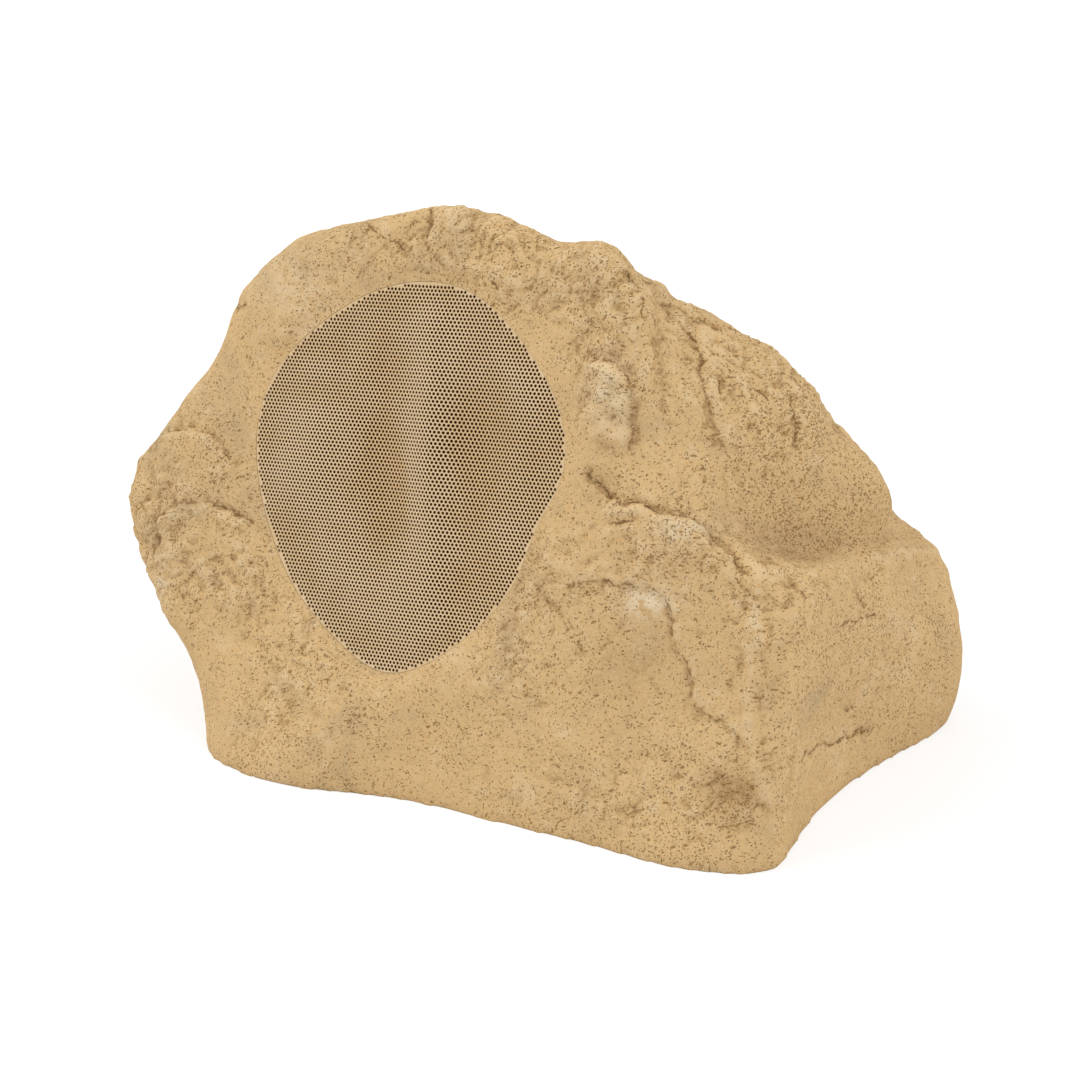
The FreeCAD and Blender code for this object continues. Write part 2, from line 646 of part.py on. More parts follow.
def basket():
    """Pressed driver frame: flange, ribbed wall with windows, spider seat and cup on the top plate."""
    profile = [
        (FLANGE_RADIUS, FLANGE_TOP), (FLANGE_RADIUS, FLANGE_BOTTOM), (BASKET_SHOULDER, FLANGE_BOTTOM),
        (SPIDER_SEAT_RADIUS + BASKET_WALL, SPIDER_SEAT - BASKET_WALL),
        (CUP_RADIUS, SPIDER_SEAT - BASKET_WALL), (CUP_RADIUS, BASKET_BOTTOM),
        (CUP_BORE, BASKET_BOTTOM), (CUP_BORE, BASKET_BOTTOM + BASKET_WALL),
        (CUP_RADIUS - BASKET_WALL, BASKET_BOTTOM + BASKET_WALL), (CUP_RADIUS - BASKET_WALL, SPIDER_SEAT),
        (SPIDER_SEAT_RADIUS, SPIDER_SEAT), (FLANGE_BORE, FLANGE_TOP - BASKET_WALL), (FLANGE_BORE, FLANGE_TOP),
    ]
    cuts = []
    for _, _, angle in around(WINDOW_COUNT, 0):
        window = Part.makeBox(
            FLANGE_RADIUS - SPIDER_SEAT_RADIUS, WINDOW_WIDTH, WINDOW_BOTTOM - WINDOW_TOP,
            Vector(SPIDER_SEAT_RADIUS, -WINDOW_WIDTH / 2, FLANGE_TOP - WINDOW_BOTTOM),
        )
        window.rotate(Vector(0, 0, 0), Vector(0, 0, 1), angle)
        cuts.append(window)
    for x, y, _ in around(DRIVER_SCREW_COUNT, DRIVER_SCREW_CIRCLE):
        cuts.append(disc(DRIVER_SCREW_RADIUS + SCREW_CLEARANCE, FLANGE_BOTTOM, FLANGE_TOP, x, y))
    return turned(profile).cut(cuts)


def driver_gasket():
    """Foam ring between the flange and the baffle."""
    gasket = ring(FLANGE_RADIUS, OPENING_RADIUS, BAFFLE_FACE, FLANGE_BOTTOM)
    holes = []
    for x, y, _ in around(DRIVER_SCREW_COUNT, DRIVER_SCREW_CIRCLE):
        holes.append(disc(DRIVER_SCREW_RADIUS + SCREW_CLEARANCE, BAFFLE_FACE, FLANGE_BOTTOM, x, y))
    return gasket.cut(holes)


def driver_screws():
    """Screws that hold the flange to the baffle."""
    screws = []
    for x, y, _ in around(DRIVER_SCREW_COUNT, DRIVER_SCREW_CIRCLE):
        head = disc(DRIVER_SCREW_HEAD_RADIUS, FLANGE_TOP, FLANGE_TOP + DRIVER_SCREW_HEAD_HEIGHT, x, y)
        shank = disc(DRIVER_SCREW_RADIUS, FLANGE_TOP - DRIVER_SCREW_LENGTH, FLANGE_TOP, x, y)
        screws.append(head.fuse(shank))
    return Part.makeCompound(screws)


def surround():
    """Rubber half roll between the cone's edge and the flange."""
    inner_roll = ROLL_RADIUS - SURROUND_THICKNESS / 2
    outer_roll = ROLL_RADIUS + SURROUND_THICKNESS / 2
    reach = math.sqrt(outer_roll ** 2 - SURROUND_THICKNESS ** 2)
    low = FLANGE_TOP
    inside = ROLL_MIDDLE - ROLL_RADIUS - SURROUND_LIP
    outside = ROLL_MIDDLE + ROLL_RADIUS + SURROUND_LIP
    under_in = (ROLL_MIDDLE - inner_roll, low)
    under_out = (ROLL_MIDDLE + inner_roll, low)
    over_in = (ROLL_MIDDLE - reach, LIP_TOP)
    over_out = (ROLL_MIDDLE + reach, LIP_TOP)
    return turned_edges([
        line((inside, low), under_in), arc(under_in, (ROLL_MIDDLE, low + inner_roll), under_out),
        line(under_out, (outside, low)), line((outside, low), (outside, LIP_TOP)),
        line((outside, LIP_TOP), over_out), arc(over_out, (ROLL_MIDDLE, low + outer_roll), over_in),
        line(over_in, (inside, LIP_TOP)), line((inside, LIP_TOP), (inside, low)),
    ])


def trim_ring():
    """Flat ring that clamps the surround's outer lip to the flange."""
    outside = ROLL_MIDDLE + ROLL_RADIUS + SURROUND_LIP
    inside = ROLL_MIDDLE + ROLL_RADIUS + SURROUND_THICKNESS
    return ring(outside, inside, LIP_TOP, LIP_TOP + TRIM_RING_HEIGHT)


def cone():
    """Thin cone with a flat lip under the surround and a neck round the coil former."""
    lip = ROLL_MIDDLE - ROLL_RADIUS - SURROUND_LIP
    return turned([
        (CONE_RADIUS, FLANGE_TOP), (lip, FLANGE_TOP), (FORMER_RADIUS, CONE_NECK + CONE_THICKNESS),
        (FORMER_RADIUS, CONE_NECK - CONE_THICKNESS), (lip, FLANGE_TOP - CONE_THICKNESS),
        (CONE_RADIUS, FLANGE_TOP - CONE_THICKNESS),
    ])


def spider():
    """Corrugated disc between the coil former and its seat in the basket."""
    inside = FORMER_RADIUS + THREAD_CLEARANCE
    outside = SPIDER_SEAT_RADIUS - PLATE_CLEARANCE
    wave_end = outside - SPIDER_LIP
    step = (wave_end - inside) / (2 * SPIDER_WAVES)
    lower = []
    for index in range(2 * SPIDER_WAVES + 1):
        lower.append((inside + index * step, SPIDER_SEAT + SPIDER_WAVE_HEIGHT * (index % 2)))
    lower.append((outside, SPIDER_SEAT))
    upper = [(radius, height + SPIDER_THICKNESS) for radius, height in reversed(lower)]
    return turned(lower + upper)


def coil_former():
    """Thin tube that carries the voice coil and the cone's neck."""
    low = COIL_BOTTOM - COIL_TAIL
    return ring(FORMER_RADIUS, FORMER_RADIUS - FORMER_WALL, low, CONE_NECK + CONE_THICKNESS)


def voice_coil():
    """Winding on the former, centred in the top plate."""
    return ring(COIL_RADIUS, FORMER_RADIUS, COIL_BOTTOM, COIL_BOTTOM + COIL_LENGTH)


def top_plate():
    """Steel ring round the coil's gap."""
    return ring(TOP_PLATE_RADIUS, COIL_RADIUS + GAP_CLEARANCE, TOP_PLATE_BOTTOM, BASKET_BOTTOM)


def magnet():
    """Ferrite ring."""
    return ring(MAGNET_RADIUS, MAGNET_BORE, MAGNET_BOTTOM, TOP_PLATE_BOTTOM)


def yoke():
    """Back plate and pole in one piece, bored for the tweeter's post."""
    plate = disc(YOKE_RADIUS, YOKE_BOTTOM, MAGNET_BOTTOM)
    pole = disc(POLE_RADIUS, YOKE_BOTTOM, BASKET_BOTTOM)
    return plate.fuse(pole).cut(disc(POST_RADIUS + POST_CLEARANCE, YOKE_BOTTOM, BASKET_BOTTOM))


def tweeter_pieces():
    """Hollow post, its nut, and the pod with its magnet, dome and face ring."""
    tail = YOKE_BOTTOM - POST_NUT_HEIGHT - POST_TAIL
    post = disc(POST_RADIUS, tail, POST_TOP)
    post = post.fuse(disc(POST_COLLAR_RADIUS, BASKET_BOTTOM, BASKET_BOTTOM + POST_COLLAR_HEIGHT))
    post = post.cut(disc(POST_BORE, tail, POST_TOP))
    nut_low = YOKE_BOTTOM - POST_NUT_HEIGHT
    nut = hexagon(POST_NUT_RADIUS, nut_low, YOKE_BOTTOM)
    nut = nut.cut(disc(POST_RADIUS + THREAD_CLEARANCE, nut_low, YOKE_BOTTOM))
    pod = turned([
        (POST_BORE, POST_TOP), (POST_COLLAR_RADIUS, POST_TOP), (POD_RADIUS, POST_TOP + POD_TAPER),
        (POD_RADIUS, POD_TOP), (POD_RADIUS - POD_WALL, POD_TOP), (POD_RADIUS - POD_WALL, POD_CAVITY),
        (POST_BORE, POD_CAVITY),
    ])
    magnet_disc = disc(TWEETER_MAGNET_RADIUS, POD_CAVITY, POD_CAVITY + TWEETER_MAGNET_HEIGHT)
    rim_top = POD_TOP + DOME_THICKNESS
    sphere = (DOME_RADIUS ** 2 + DOME_HEIGHT ** 2) / (2 * DOME_HEIGHT)
    centre = rim_top + DOME_HEIGHT - sphere
    half = math.asin(DOME_RADIUS / sphere) / 2
    outer_mid = (sphere * math.sin(half), centre + sphere * math.cos(half))
    skin = sphere - DOME_THICKNESS
    inner_edge = math.sqrt(skin ** 2 - (POD_TOP - centre) ** 2)
    inner_half = math.asin(inner_edge / skin) / 2
    inner_mid = (skin * math.sin(inner_half), centre + skin * math.cos(inner_half))
    dome = turned_edges([
        arc((0, centre + sphere), outer_mid, (DOME_RADIUS, rim_top)),
        line((DOME_RADIUS, rim_top), (POD_RADIUS, rim_top)),
        line((POD_RADIUS, rim_top), (POD_RADIUS, POD_TOP)),
        line((POD_RADIUS, POD_TOP), (inner_edge, POD_TOP)),
        arc((inner_edge, POD_TOP), inner_mid, (0, centre + skin)),
        line((0, centre + skin), (0, centre + sphere)),
    ])
    face_ring = ring(POD_RADIUS, FACE_RING_BORE, rim_top, rim_top + FACE_RING_HEIGHT)
    return {
        "tweeter_post": post, "post_nut": nut, "tweeter_pod": pod, "tweeter_magnet": magnet_disc,
        "tweeter_dome": dome, "tweeter_face": face_ring,
    }


def strip_heights():
    """Lowest and highest of the terminal strip, between the top plate and the spider seat."""
    return BASKET_BOTTOM + STRIP_CLEARANCE, SPIDER_SEAT - BASKET_WALL - STRIP_CLEARANCE


def terminal_strip():
    """Insulating block fitted round the cup's wall."""
    low, high = strip_heights()
    block = Part.makeBox(CUP_RADIUS + STRIP_DEPTH, STRIP_WIDTH, high - low, Vector(0, -STRIP_WIDTH / 2, low))
    return block.cut(disc(CUP_RADIUS, low, high))


def terminal_tabs():
    """Solder tabs on the strip's outer face."""
    low, high = strip_heights()
    height = (low + high - TAB_THICKNESS) / 2
    tabs = []
    for side in (-0.5, 0.5):
        corner = Vector(CUP_RADIUS + STRIP_DEPTH, side * TAB_SPACING - TAB_WIDTH / 2, height)
        tabs.append(Part.makeBox(TAB_LENGTH, TAB_WIDTH, TAB_THICKNESS, corner))
    return Part.makeCompound(tabs)


# Crossover

def board_corners():
    """Middles of the board's corner holes."""
    half_length = BOARD_LENGTH / 2 - STANDOFF_INSET
    half_width = BOARD_WIDTH / 2 - STANDOFF_INSET
    corners = []
    for side in (-1, 1):
        for end in (-1, 1):
            corners.append((BOARD_CENTRE.x + end * half_length, BOARD_CENTRE.y + side * half_width))
    return corners


def board_spot(place, height):
    """Point above the board's middle, at a place on the board and a height."""
    return Vector(BOARD_CENTRE.x + place[0], BOARD_CENTRE.y + place[1], height)


def crossover_board():
    """Circuit board with a hole at each corner."""
    corner = board_spot((-BOARD_LENGTH / 2, -BOARD_WIDTH / 2), BOARD_BOTTOM)
    board = Part.makeBox(BOARD_LENGTH, BOARD_WIDTH, BOARD_THICKNESS, corner)
    bore = BOARD_SCREW_RADIUS + SCREW_CLEARANCE
    return board.cut([disc(bore, BOARD_BOTTOM, BOARD_TOP, x, y) for x, y in board_corners()])


def board_standoffs():
    """Threaded pillars between the base plate and the board."""
    bore = BOARD_SCREW_RADIUS + THREAD_CLEARANCE
    pillars = []
    for x, y in board_corners():
        pillar = hexagon(STANDOFF_RADIUS, PLATE_THICKNESS, BOARD_BOTTOM, x, y)
        pillars.append(pillar.cut(disc(bore, PLATE_THICKNESS, BOARD_BOTTOM, x, y)))
    return Part.makeCompound(pillars)


def board_screws():
    """Screws down through the board, and up through the base plate, into each pillar."""
    screws = []
    for x, y in board_corners():
        head = disc(BOARD_SCREW_HEAD_RADIUS, BOARD_TOP, BOARD_TOP + BOARD_SCREW_HEAD_HEIGHT, x, y)
        reach = BOARD_THICKNESS + STANDOFF_HEIGHT / 2 - PILOT_SPARE
        screws.append(head.fuse(disc(BOARD_SCREW_RADIUS, BOARD_TOP - reach, BOARD_TOP, x, y)))
        low_head = disc(BOARD_SCREW_HEAD_RADIUS, 0, BOARD_SCREW_HEAD_HEIGHT, x, y)
        low_reach = PLATE_THICKNESS + STANDOFF_HEIGHT / 2 - PILOT_SPARE
        screws.append(low_head.fuse(disc(BOARD_SCREW_RADIUS, 0, low_reach, x, y)))
    return Part.makeCompound(screws)


def lying_can(radius, length, place):
    """Cylinder lying on the board along X."""
    start = board_spot(place, BOARD_TOP + radius) - Vector(length / 2, 0, 0)
    return Part.makeCylinder(radius, length, start, Vector(1, 0, 0))


def board_box(length, width, height, place):
    """Block standing on the board."""
    corner = board_spot(place, BOARD_TOP) - Vector(length / 2, width / 2, 0)
    return Part.makeBox(length, width, height, corner)


def inductor():
    """Wound ring standing flat on the board."""
    spot = board_spot(INDUCTOR_PLACE, BOARD_TOP)
    return ring(INDUCTOR_RADIUS, INDUCTOR_BORE, spot.z, spot.z + INDUCTOR_HEIGHT, spot.x, spot.y)


# Leads

def lead(points):
    """Round lead along straight runs joined by tangent arcs."""
    edges = []
    start = points[0]
    for before, corner, after in zip(points, points[1:], points[2:]):
        back = before - corner
        ahead = after - corner
        shorter = min(back.Length, ahead.Length)
        back.normalize()
        ahead.normalize()
        half_turn = (math.pi - back.getAngle(ahead)) / 2
        tangent = BEND_SHARE * shorter
        radius = tangent / math.tan(half_turn)
        middle = back + ahead
        middle.normalize()
        peak = corner + middle * (radius / math.cos(half_turn) - radius)
        enter = corner + back * tangent
        leave = corner + ahead * tangent
        edges.append(Part.LineSegment(start, enter).toShape())
        edges.append(Part.Arc(enter, peak, leave).toShape())
        start = leave
        print("lead bend radius %.1f mm" % radius)
    edges.append(Part.LineSegment(start, points[-1]).toShape())
    path = Part.Wire(edges)
    circle = Part.Wire([Part.Circle(points[0], points[1] - points[0], LEAD_RADIUS).toShape()])
    tube = path.makePipeShell([circle], True, False)
    share = tube.Volume / (math.pi * LEAD_RADIUS ** 2 * path.Length)
    print("lead length %.1f mm, volume share %.4f" % (path.Length, share))
    return tube


def block_pole(side):
    """Top of one pole of the terminal block."""
    place = (BLOCK_PLACE[0] + side * BLOCK_POLE_SPACING / 2, BLOCK_PLACE[1])
    return board_spot(place, BOARD_TOP + BLOCK_HEIGHT)


def woofer_lead():
    """Lead from between the driver's tabs to the terminal block."""
    height = sum(strip_heights()) / 2
    outer_face = CUP_RADIUS + STRIP_DEPTH
    start = FACE_FRAME.multVec(Vector(outer_face, 0, height))
    first = FACE_FRAME.multVec(Vector(outer_face + WOOFER_LEAD_RUN, 0, height))
    end = block_pole(-1)
    return lead([start, first] + list(WOOFER_LEAD_POINTS) + [end + Vector(0, 0, LEAD_DROP), end])


def tweeter_lead():
    """Lead from the tweeter's magnet down its post to the terminal block."""
    start = FACE_FRAME.multVec(Vector(0, 0, POD_CAVITY))
    first = FACE_FRAME.multVec(Vector(0, 0, YOKE_BOTTOM - POST_NUT_HEIGHT - POST_TAIL - TWEETER_LEAD_RUN))
    end = block_pole(1)
    return lead([start, first] + list(TWEETER_LEAD_POINTS) + [end + Vector(0, 0, LEAD_DROP), end])


# Assembly

def footprint_middle():
    """Middle of the rock's box, on the ground."""
    ring_box = FreeCAD.BoundBox()
    for index in range(AZIMUTH_STEPS):
        azimuth = index * 360.0 / AZIMUTH_STEPS
        lowest = floor_elevation(azimuth, 0, 0)
        for level in range(ELEVATION_STEPS):
            ring_box.add(skin_point(azimuth, lowest + (90 - lowest) * level / ELEVATION_STEPS, 0))
    return Vector(ring_box.Center.x, ring_box.Center.y, 0)


def assembly():
    """Every piece by the name of its node."""
    pieces = {
        "rock_shell": rock_shell(), "base_plate": base_plate(), "base_seal": base_seal(),
        "base_screws": base_screws(),
    }
    for name, shape in gland_pieces().items():
        pieces[name] = on_gland(shape)
    driver = {
        "grille": grille(), "grille_cloth": grille_cloth(), "driver_gasket": driver_gasket(),
        "driver_screws": driver_screws(), "basket": basket(), "surround": surround(),
        "trim_ring": trim_ring(), "cone": cone(),
        "spider": spider(), "coil_former": coil_former(), "voice_coil": voice_coil(),
        "top_plate": top_plate(), "magnet": magnet(), "yoke": yoke(), "terminal_strip": terminal_strip(),
        "terminal_tabs": terminal_tabs(),
    }
    driver.update(tweeter_pieces())
    for name, shape in driver.items():
        pieces[name] = on_face(shape)
    pieces["crossover_board"] = crossover_board()
    pieces["board_standoffs"] = board_standoffs()
    pieces["board_screws"] = board_screws()
    pieces["inductor"] = inductor()
    pieces["capacitor_large"] = lying_can(
        CAPACITOR_LARGE_RADIUS, CAPACITOR_LARGE_LENGTH, CAPACITOR_LARGE_PLACE)
    pieces["capacitor_small"] = lying_can(
        CAPACITOR_SMALL_RADIUS, CAPACITOR_SMALL_LENGTH, CAPACITOR_SMALL_PLACE)
    pieces["resistor"] = board_box(RESISTOR_LENGTH, RESISTOR_SIDE, RESISTOR_SIDE, RESISTOR_PLACE)
    pieces["terminal_block"] = board_box(BLOCK_LENGTH, BLOCK_WIDTH, BLOCK_HEIGHT, BLOCK_PLACE)
    pieces["woofer_lead"] = woofer_lead()
    pieces["tweeter_lead"] = tweeter_lead()
    return pieces


def main():
    """Build the pieces about the footprint's middle and write one file for each."""
    os.makedirs("parts", exist_ok=True)
    middle = footprint_middle()
    print("footprint middle", middle)
    for name, shape in assembly().items():
        shape = shape.translated(middle * -1)
        print("%-16s solids %2d faces %5d valid %s volume %.0f" % (
            name, len(shape.Solids), len(shape.Faces), shape.isValid(), shape.Volume))
        shape.exportStep("parts/%s.step" % name)


main()
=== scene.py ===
"""Looks of a rock speaker: a sandstone-coated shell, its perforated grille and the pieces behind them."""

import json
import math
import random

import bmesh
import bpy
import numpy as np
from bpy.props import FloatProperty, FloatVectorProperty, IntProperty, PointerProperty
from mathutils import Matrix, Vector, noise
from mathutils.bvhtree import BVHTree


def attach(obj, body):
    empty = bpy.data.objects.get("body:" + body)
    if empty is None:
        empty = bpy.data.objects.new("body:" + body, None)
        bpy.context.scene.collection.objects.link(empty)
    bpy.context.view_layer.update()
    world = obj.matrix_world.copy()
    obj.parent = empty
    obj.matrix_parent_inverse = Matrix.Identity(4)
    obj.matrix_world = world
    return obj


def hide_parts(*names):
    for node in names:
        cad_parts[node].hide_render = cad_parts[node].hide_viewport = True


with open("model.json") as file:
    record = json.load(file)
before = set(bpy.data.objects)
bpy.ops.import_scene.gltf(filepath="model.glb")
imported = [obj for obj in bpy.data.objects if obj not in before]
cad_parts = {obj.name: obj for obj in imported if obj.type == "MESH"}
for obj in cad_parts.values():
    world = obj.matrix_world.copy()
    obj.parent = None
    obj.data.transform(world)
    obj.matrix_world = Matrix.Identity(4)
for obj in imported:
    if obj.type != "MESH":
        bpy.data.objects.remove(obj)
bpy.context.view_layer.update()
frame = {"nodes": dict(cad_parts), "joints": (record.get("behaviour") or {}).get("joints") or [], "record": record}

bl_info = {
    "name": "Rock speaker looks",
    "version": (1, 0, 0),
    "blender": (4, 5, 0),
    "location": "View3D > Sidebar > Rock speaker",
    "description": "Dresses the rock speaker's frame with its rock, grille, scrim and finishes",
    "category": "Object",
}

MM = 0.001
CABINET = "cabinet"
MERGE_DISTANCE = 0.002 * MM

# The photograph's camera, in the frame's metres and the photograph's pixels
PHOTO_SIZE = 1080.0
PHOTO_AZIMUTH = 32.0
PHOTO_ELEVATION = 20.0
PHOTO_DISTANCE = 1.310
PHOTO_FOCAL = 2390.0
PHOTO_TARGET = Vector((0.03843, -0.05602, 0.130))

# The driver's axis, which is also the way the grille faces
DRIVER_AXIS = Vector(frame["joints"][0]["axis"]).normalized()

# Torn edges in the photograph: height and reach in millimetres, then a path whose left side is raised
TORN_EDGES = {
    "plate beside the band": (3.2, 24.0, [(626, 456), (631, 440), (630, 422), (631, 402), (628, 382),
                                          (619, 367), (603, 361), (576, 366)]),
    "edge of the dish": (1.8, 18.0, [(562, 592), (580, 583), (598, 580), (622, 582), (651, 589), (665, 599),
                                     (673, 621), (678, 647), (692, 672), (694, 701), (721, 720), (748, 739),
                                     (759, 768)]),
    "right of the band": (2.4, 15.0, [(689, 316), (697, 350), (702, 385), (713, 420), (731, 455)]),
    "lip of the ledge": (2.4, 9.0, [(749, 578), (742, 570), (718, 542), (705, 527), (691, 519), (672, 515),
                                    (654, 512), (638, 503), (624, 503), (612, 499), (604, 491)]),
    "left lump": (1.9, 15.0, [(238, 474), (227, 455), (208, 436), (184, 431), (160, 434)]),
    "lower left lump": (1.5, 14.0, [(251, 525), (238, 514), (208, 503), (185, 505), (163, 517), (160, 552),
                                    (168, 575)]),
}

# Cracks in the photograph: half width and depth in millimetres, then a path
CRACKS = {
    "pit": (1.7, 4.5, [(589, 462), (592, 480), (604, 491), (611, 498), (616, 493)]),
    "ledge": (1.6, 2.4, [(612, 499), (624, 503), (638, 503), (654, 512), (672, 515), (691, 519), (705, 527)]),
    "ledge corner": (1.7, 2.4, [(705, 527), (718, 542), (742, 570), (749, 578)]),
    "below the ledge": (1.5, 2.0, [(608, 524), (626, 521), (638, 519)]),
    "band": (1.8, 3.0, [(694, 331), (699, 350), (701, 377)]),
    "band crease": (1.5, 1.6, [(646, 294), (640, 323)]),
    "slope": (1.5, 2.2, [(784, 389), (790, 412), (793, 425), (796, 454)]),
    "slope nick": (1.4, 1.4, [(720, 382), (718, 396)]),
    "slope arc": (1.5, 1.5, [(748, 390), (766, 404)]),
    "ridge notch": (1.8, 2.4, [(699, 318), (734, 326)]),
    "top": (1.6, 2.8, [(432, 207), (428, 225), (425, 240)]),
    "crest crease": (1.8, 0.8, [(366, 222), (385, 236), (404, 252)]),
    "brow nick": (1.5, 1.6, [(495, 281), (498, 292)]),
    "left": (1.6, 2.2, [(208, 503), (238, 514), (251, 525)]),
    "wall": (1.6, 1.8, [(796, 765), (812, 749), (828, 744), (855, 736), (876, 722)]),
    "wall scratch": (1.4, 1.2, [(852, 587), (868, 611)]),
    "wall line": (1.4, 1.2, [(836, 626), (860, 618), (882, 617)]),
    "wall foot": (1.4, 1.2, [(843, 710), (856, 706)]),
    "foot": (1.6, 1.6, [(700, 790), (718, 776), (728, 774)]),
    "crest notch": (3.2, 4.5, [(631, 262), (630, 284)]),
    "second crest notch": (2.8, 4.0, [(682, 296), (683, 318)]),
    "left notch": (3.5, 1.6, [(228, 306), (246, 306)]),
}

# Raised edges of the photograph: half width and height in millimetres, then a path
RIDGES = {
    "ledge edge": (6.0, 2.4, [(766, 577), (800, 572), (850, 563), (900, 554), (936, 547)]),
    "corner": (4.2, 1.8, [(748, 559), (755, 586), (757, 621), (751, 661), (747, 693), (749, 731), (759, 768),
                          (761, 795)]),
}

# Swells and hollows in the photograph: middle and half sizes in pixels, height in millimetres
SWELLS = {
    "smooth band": ((664, 360), (15, 65), -3.5),
    "dish": ((640, 660), (60, 70), -3.5),
    "stain": ((726, 792), (25, 16), -2.5),
    "stain foot": ((738, 827), (16, 10), -1.5),
    "crest lump": ((606, 262), (24, 16), 2.5),
    "crest bump": ((655, 290), (16, 12), 2.2),
    "top lump": ((455, 228), (22, 16), 2.5),
    "top hollow": ((405, 245), (20, 12), -2.0),
    "brow lump": ((560, 290), (18, 14), 1.8),
    "slope knob": ((820, 385), (12, 14), 2.0),
    "slope hollow": ((836, 420), (10, 10), -2.0),
    "slope swell": ((770, 400), (40, 40), 3.0),
    "ledge plate": ((680, 532), (26, 14), 1.6),
}

# Large forms that run on past the outline: middle and half sizes in pixels, height in millimetres
FORMS = {
    "crest hollow": ((562, 236), (30, 24), -7.0),
    "crest step": ((645, 254), (28, 30), -9.0),
    "crest fall": ((690, 282), (36, 34), -14.0),
    "crest end": ((738, 316), (30, 28), -5.0),
    "waist": ((210, 345), (36, 44), -4.5),
    "left side": ((165, 610), (42, 85), 6.0),
    "shoulder": ((300, 242), (42, 26), 4.0),
    "top": ((432, 208), (26, 16), 3.0),
    "slope edge": ((875, 465), (34, 48), 5.0),
    "right wall": ((962, 655), (26, 50), 3.5),
    "scoop": ((798, 538), (46, 22), -5.0),
    "scoop right": ((880, 530), (42, 18), -6.0),
    "scoop head": ((780, 495), (60, 42), -4.0),
}

# Feet that spread along the ground in the photograph: middle and half sizes in pixels, reach in millimetres
FEET = {
    "left foot": ((270, 752), (75, 60), 10.0),
    "front foot": ((690, 856), (95, 40), 9.0),
}

# Areas of the photograph where the coat is rough, or smooth: middle and half sizes in pixels
ROUGH_AREAS = {
    "crest": ((480, 245), (150, 42)),
    "slope": ((755, 370), (65, 50)),
    "ledge": ((680, 545), (75, 45)),
    "lower left": ((230, 570), (50, 45)),
    "brow": ((605, 335), (35, 60)),
}
SMOOTH_AREAS = {
    "dish": ((630, 670), (85, 85)),
    "wall": ((860, 650), (80, 70)),
    "band": ((664, 350), (16, 60)),
    "bottom": ((450, 735), (150, 55)),
    "scoop": ((815, 510), (85, 35)),
}

# Areas of the photograph that are thick with dashes: middle and half sizes in pixels, strength
DASHED_AREAS = {
    "slope": ((790, 440), (95, 75), 1.2),
    "scoop": ((830, 515), (95, 38), 1.2),
    "ledge": ((680, 540), (80, 45), 1.0),
    "brow": ((600, 330), (45, 80), 1.0),
    "left": ((200, 480), (60, 90), 0.9),
    "foot": ((720, 790), (50, 45), 0.9),
    "wall": ((865, 660), (95, 85), 0.95),
    "bottom": ((400, 730), (170, 60), 0.5),
}

# Dark spots of the photograph: a real smear at the foot, and painted shade in the scoop, on the dish, in the pit
# and under the ledge; middle and half sizes in pixels, strength
STAINS_AND_SHADE = {
    "foot": ((728, 800), (30, 26), 0.8),
    "scoop": ((815, 538), (85, 24), 0.62),
    "scoop head": ((800, 505), (90, 40), 0.30),
    "dish": ((632, 668), (55, 60), 0.27),
    "pit": ((604, 485), (20, 20), 0.5),
    "ledge": ((700, 560), (40, 22), 0.25),
}

# Pale rubbed spots of the photograph: middle and half sizes in pixels, strength
PALE_SPOTS = {
    "ledge plate": ((680, 531), (22, 13), 0.8),
    "top of the dish": ((645, 602), (24, 15), 1.0),
    "corner chip": ((757, 614), (4, 18), 0.9),
    "plate beside the grille": ((612, 395), (18, 32), 0.6),
    "left chips": ((171, 582), (8, 16), 0.7),
    "foot scuff": ((714, 867), (16, 5), 0.8),
    "left shoulder": ((300, 290), (40, 30), 0.4),
}

# Swells of the grille's sheet in the photograph: middle and half sizes in pixels, height in millimetres
# Their heights also make the paint lighter on swells and darker in hollows: painted light and shade.
SHEET_SWELLS = {
    "tall ridge": ((430, 440), (18, 150), 2.6),
    "dark hollow": ((480, 450), (26, 60), -2.2),
    "upper right": ((535, 370), (26, 50), 1.8),
    "left hollow": ((385, 470), (20, 70), -1.8),
    "left swell": ((310, 470), (30, 60), 1.8),
    "lower swell": ((400, 600), (50, 40), 1.6),
}

# Where the rock is looked at from for the relief of the sides that the photograph doesn't show
OTHER_VIEWS = [(122.0, 15.0), (212.0, 18.0), (302.0, 15.0), (210.0, 70.0)]
OTHER_FIELD = ((240.0, 840.0), (260.0, 800.0))
EDGES_PER_VIEW = 7
CRACKS_PER_VIEW = 12


# Small helpers for shapes

def smoothstep(low, high, values):
    """Eases the values from 0 at low to 1 at high."""
    share = np.clip((values - low) / (high - low), 0.0, 1.0)
    return share * share * (3.0 - 2.0 * share)


def noise_field(points, size, shift, octaves=1.0):
    """Noise from about -1 to 1 at each point, with lumps of the given size in metres."""
    offset = Vector((shift, 0.37 * shift, -0.61 * shift))
    scaled = points / size
    if octaves <= 1.0:
        return np.array([noise.noise(Vector(place) + offset) for place in scaled])
    return np.array([noise.fractal(Vector(place) + offset, 1.0, 2.0, octaves) for place in scaled])


def merged_copy(node):
    """A copy of a CAD node's mesh as a bmesh, with its loose triangles merged."""
    mesh = bmesh.new()
    mesh.from_mesh(frame["nodes"][node].data)
    bmesh.ops.remove_doubles(mesh, verts=mesh.verts, dist=MERGE_DISTANCE)
    mesh.normal_update()
    mesh.faces.index_update()
    return mesh


def linked(name, data):
    """A new object of the scene that holds some data."""
    item = bpy.data.objects.new(name, data)
    bpy.context.scene.collection.objects.link(item)
    return item


def new_piece(name, mesh, materials):
    """A new object from a bmesh, which is freed, with its materials."""
    data = bpy.data.meshes.new(name)
    mesh.to_mesh(data)
    mesh.free()
    for material in materials:
        data.materials.append(material)
    return linked(name, data)


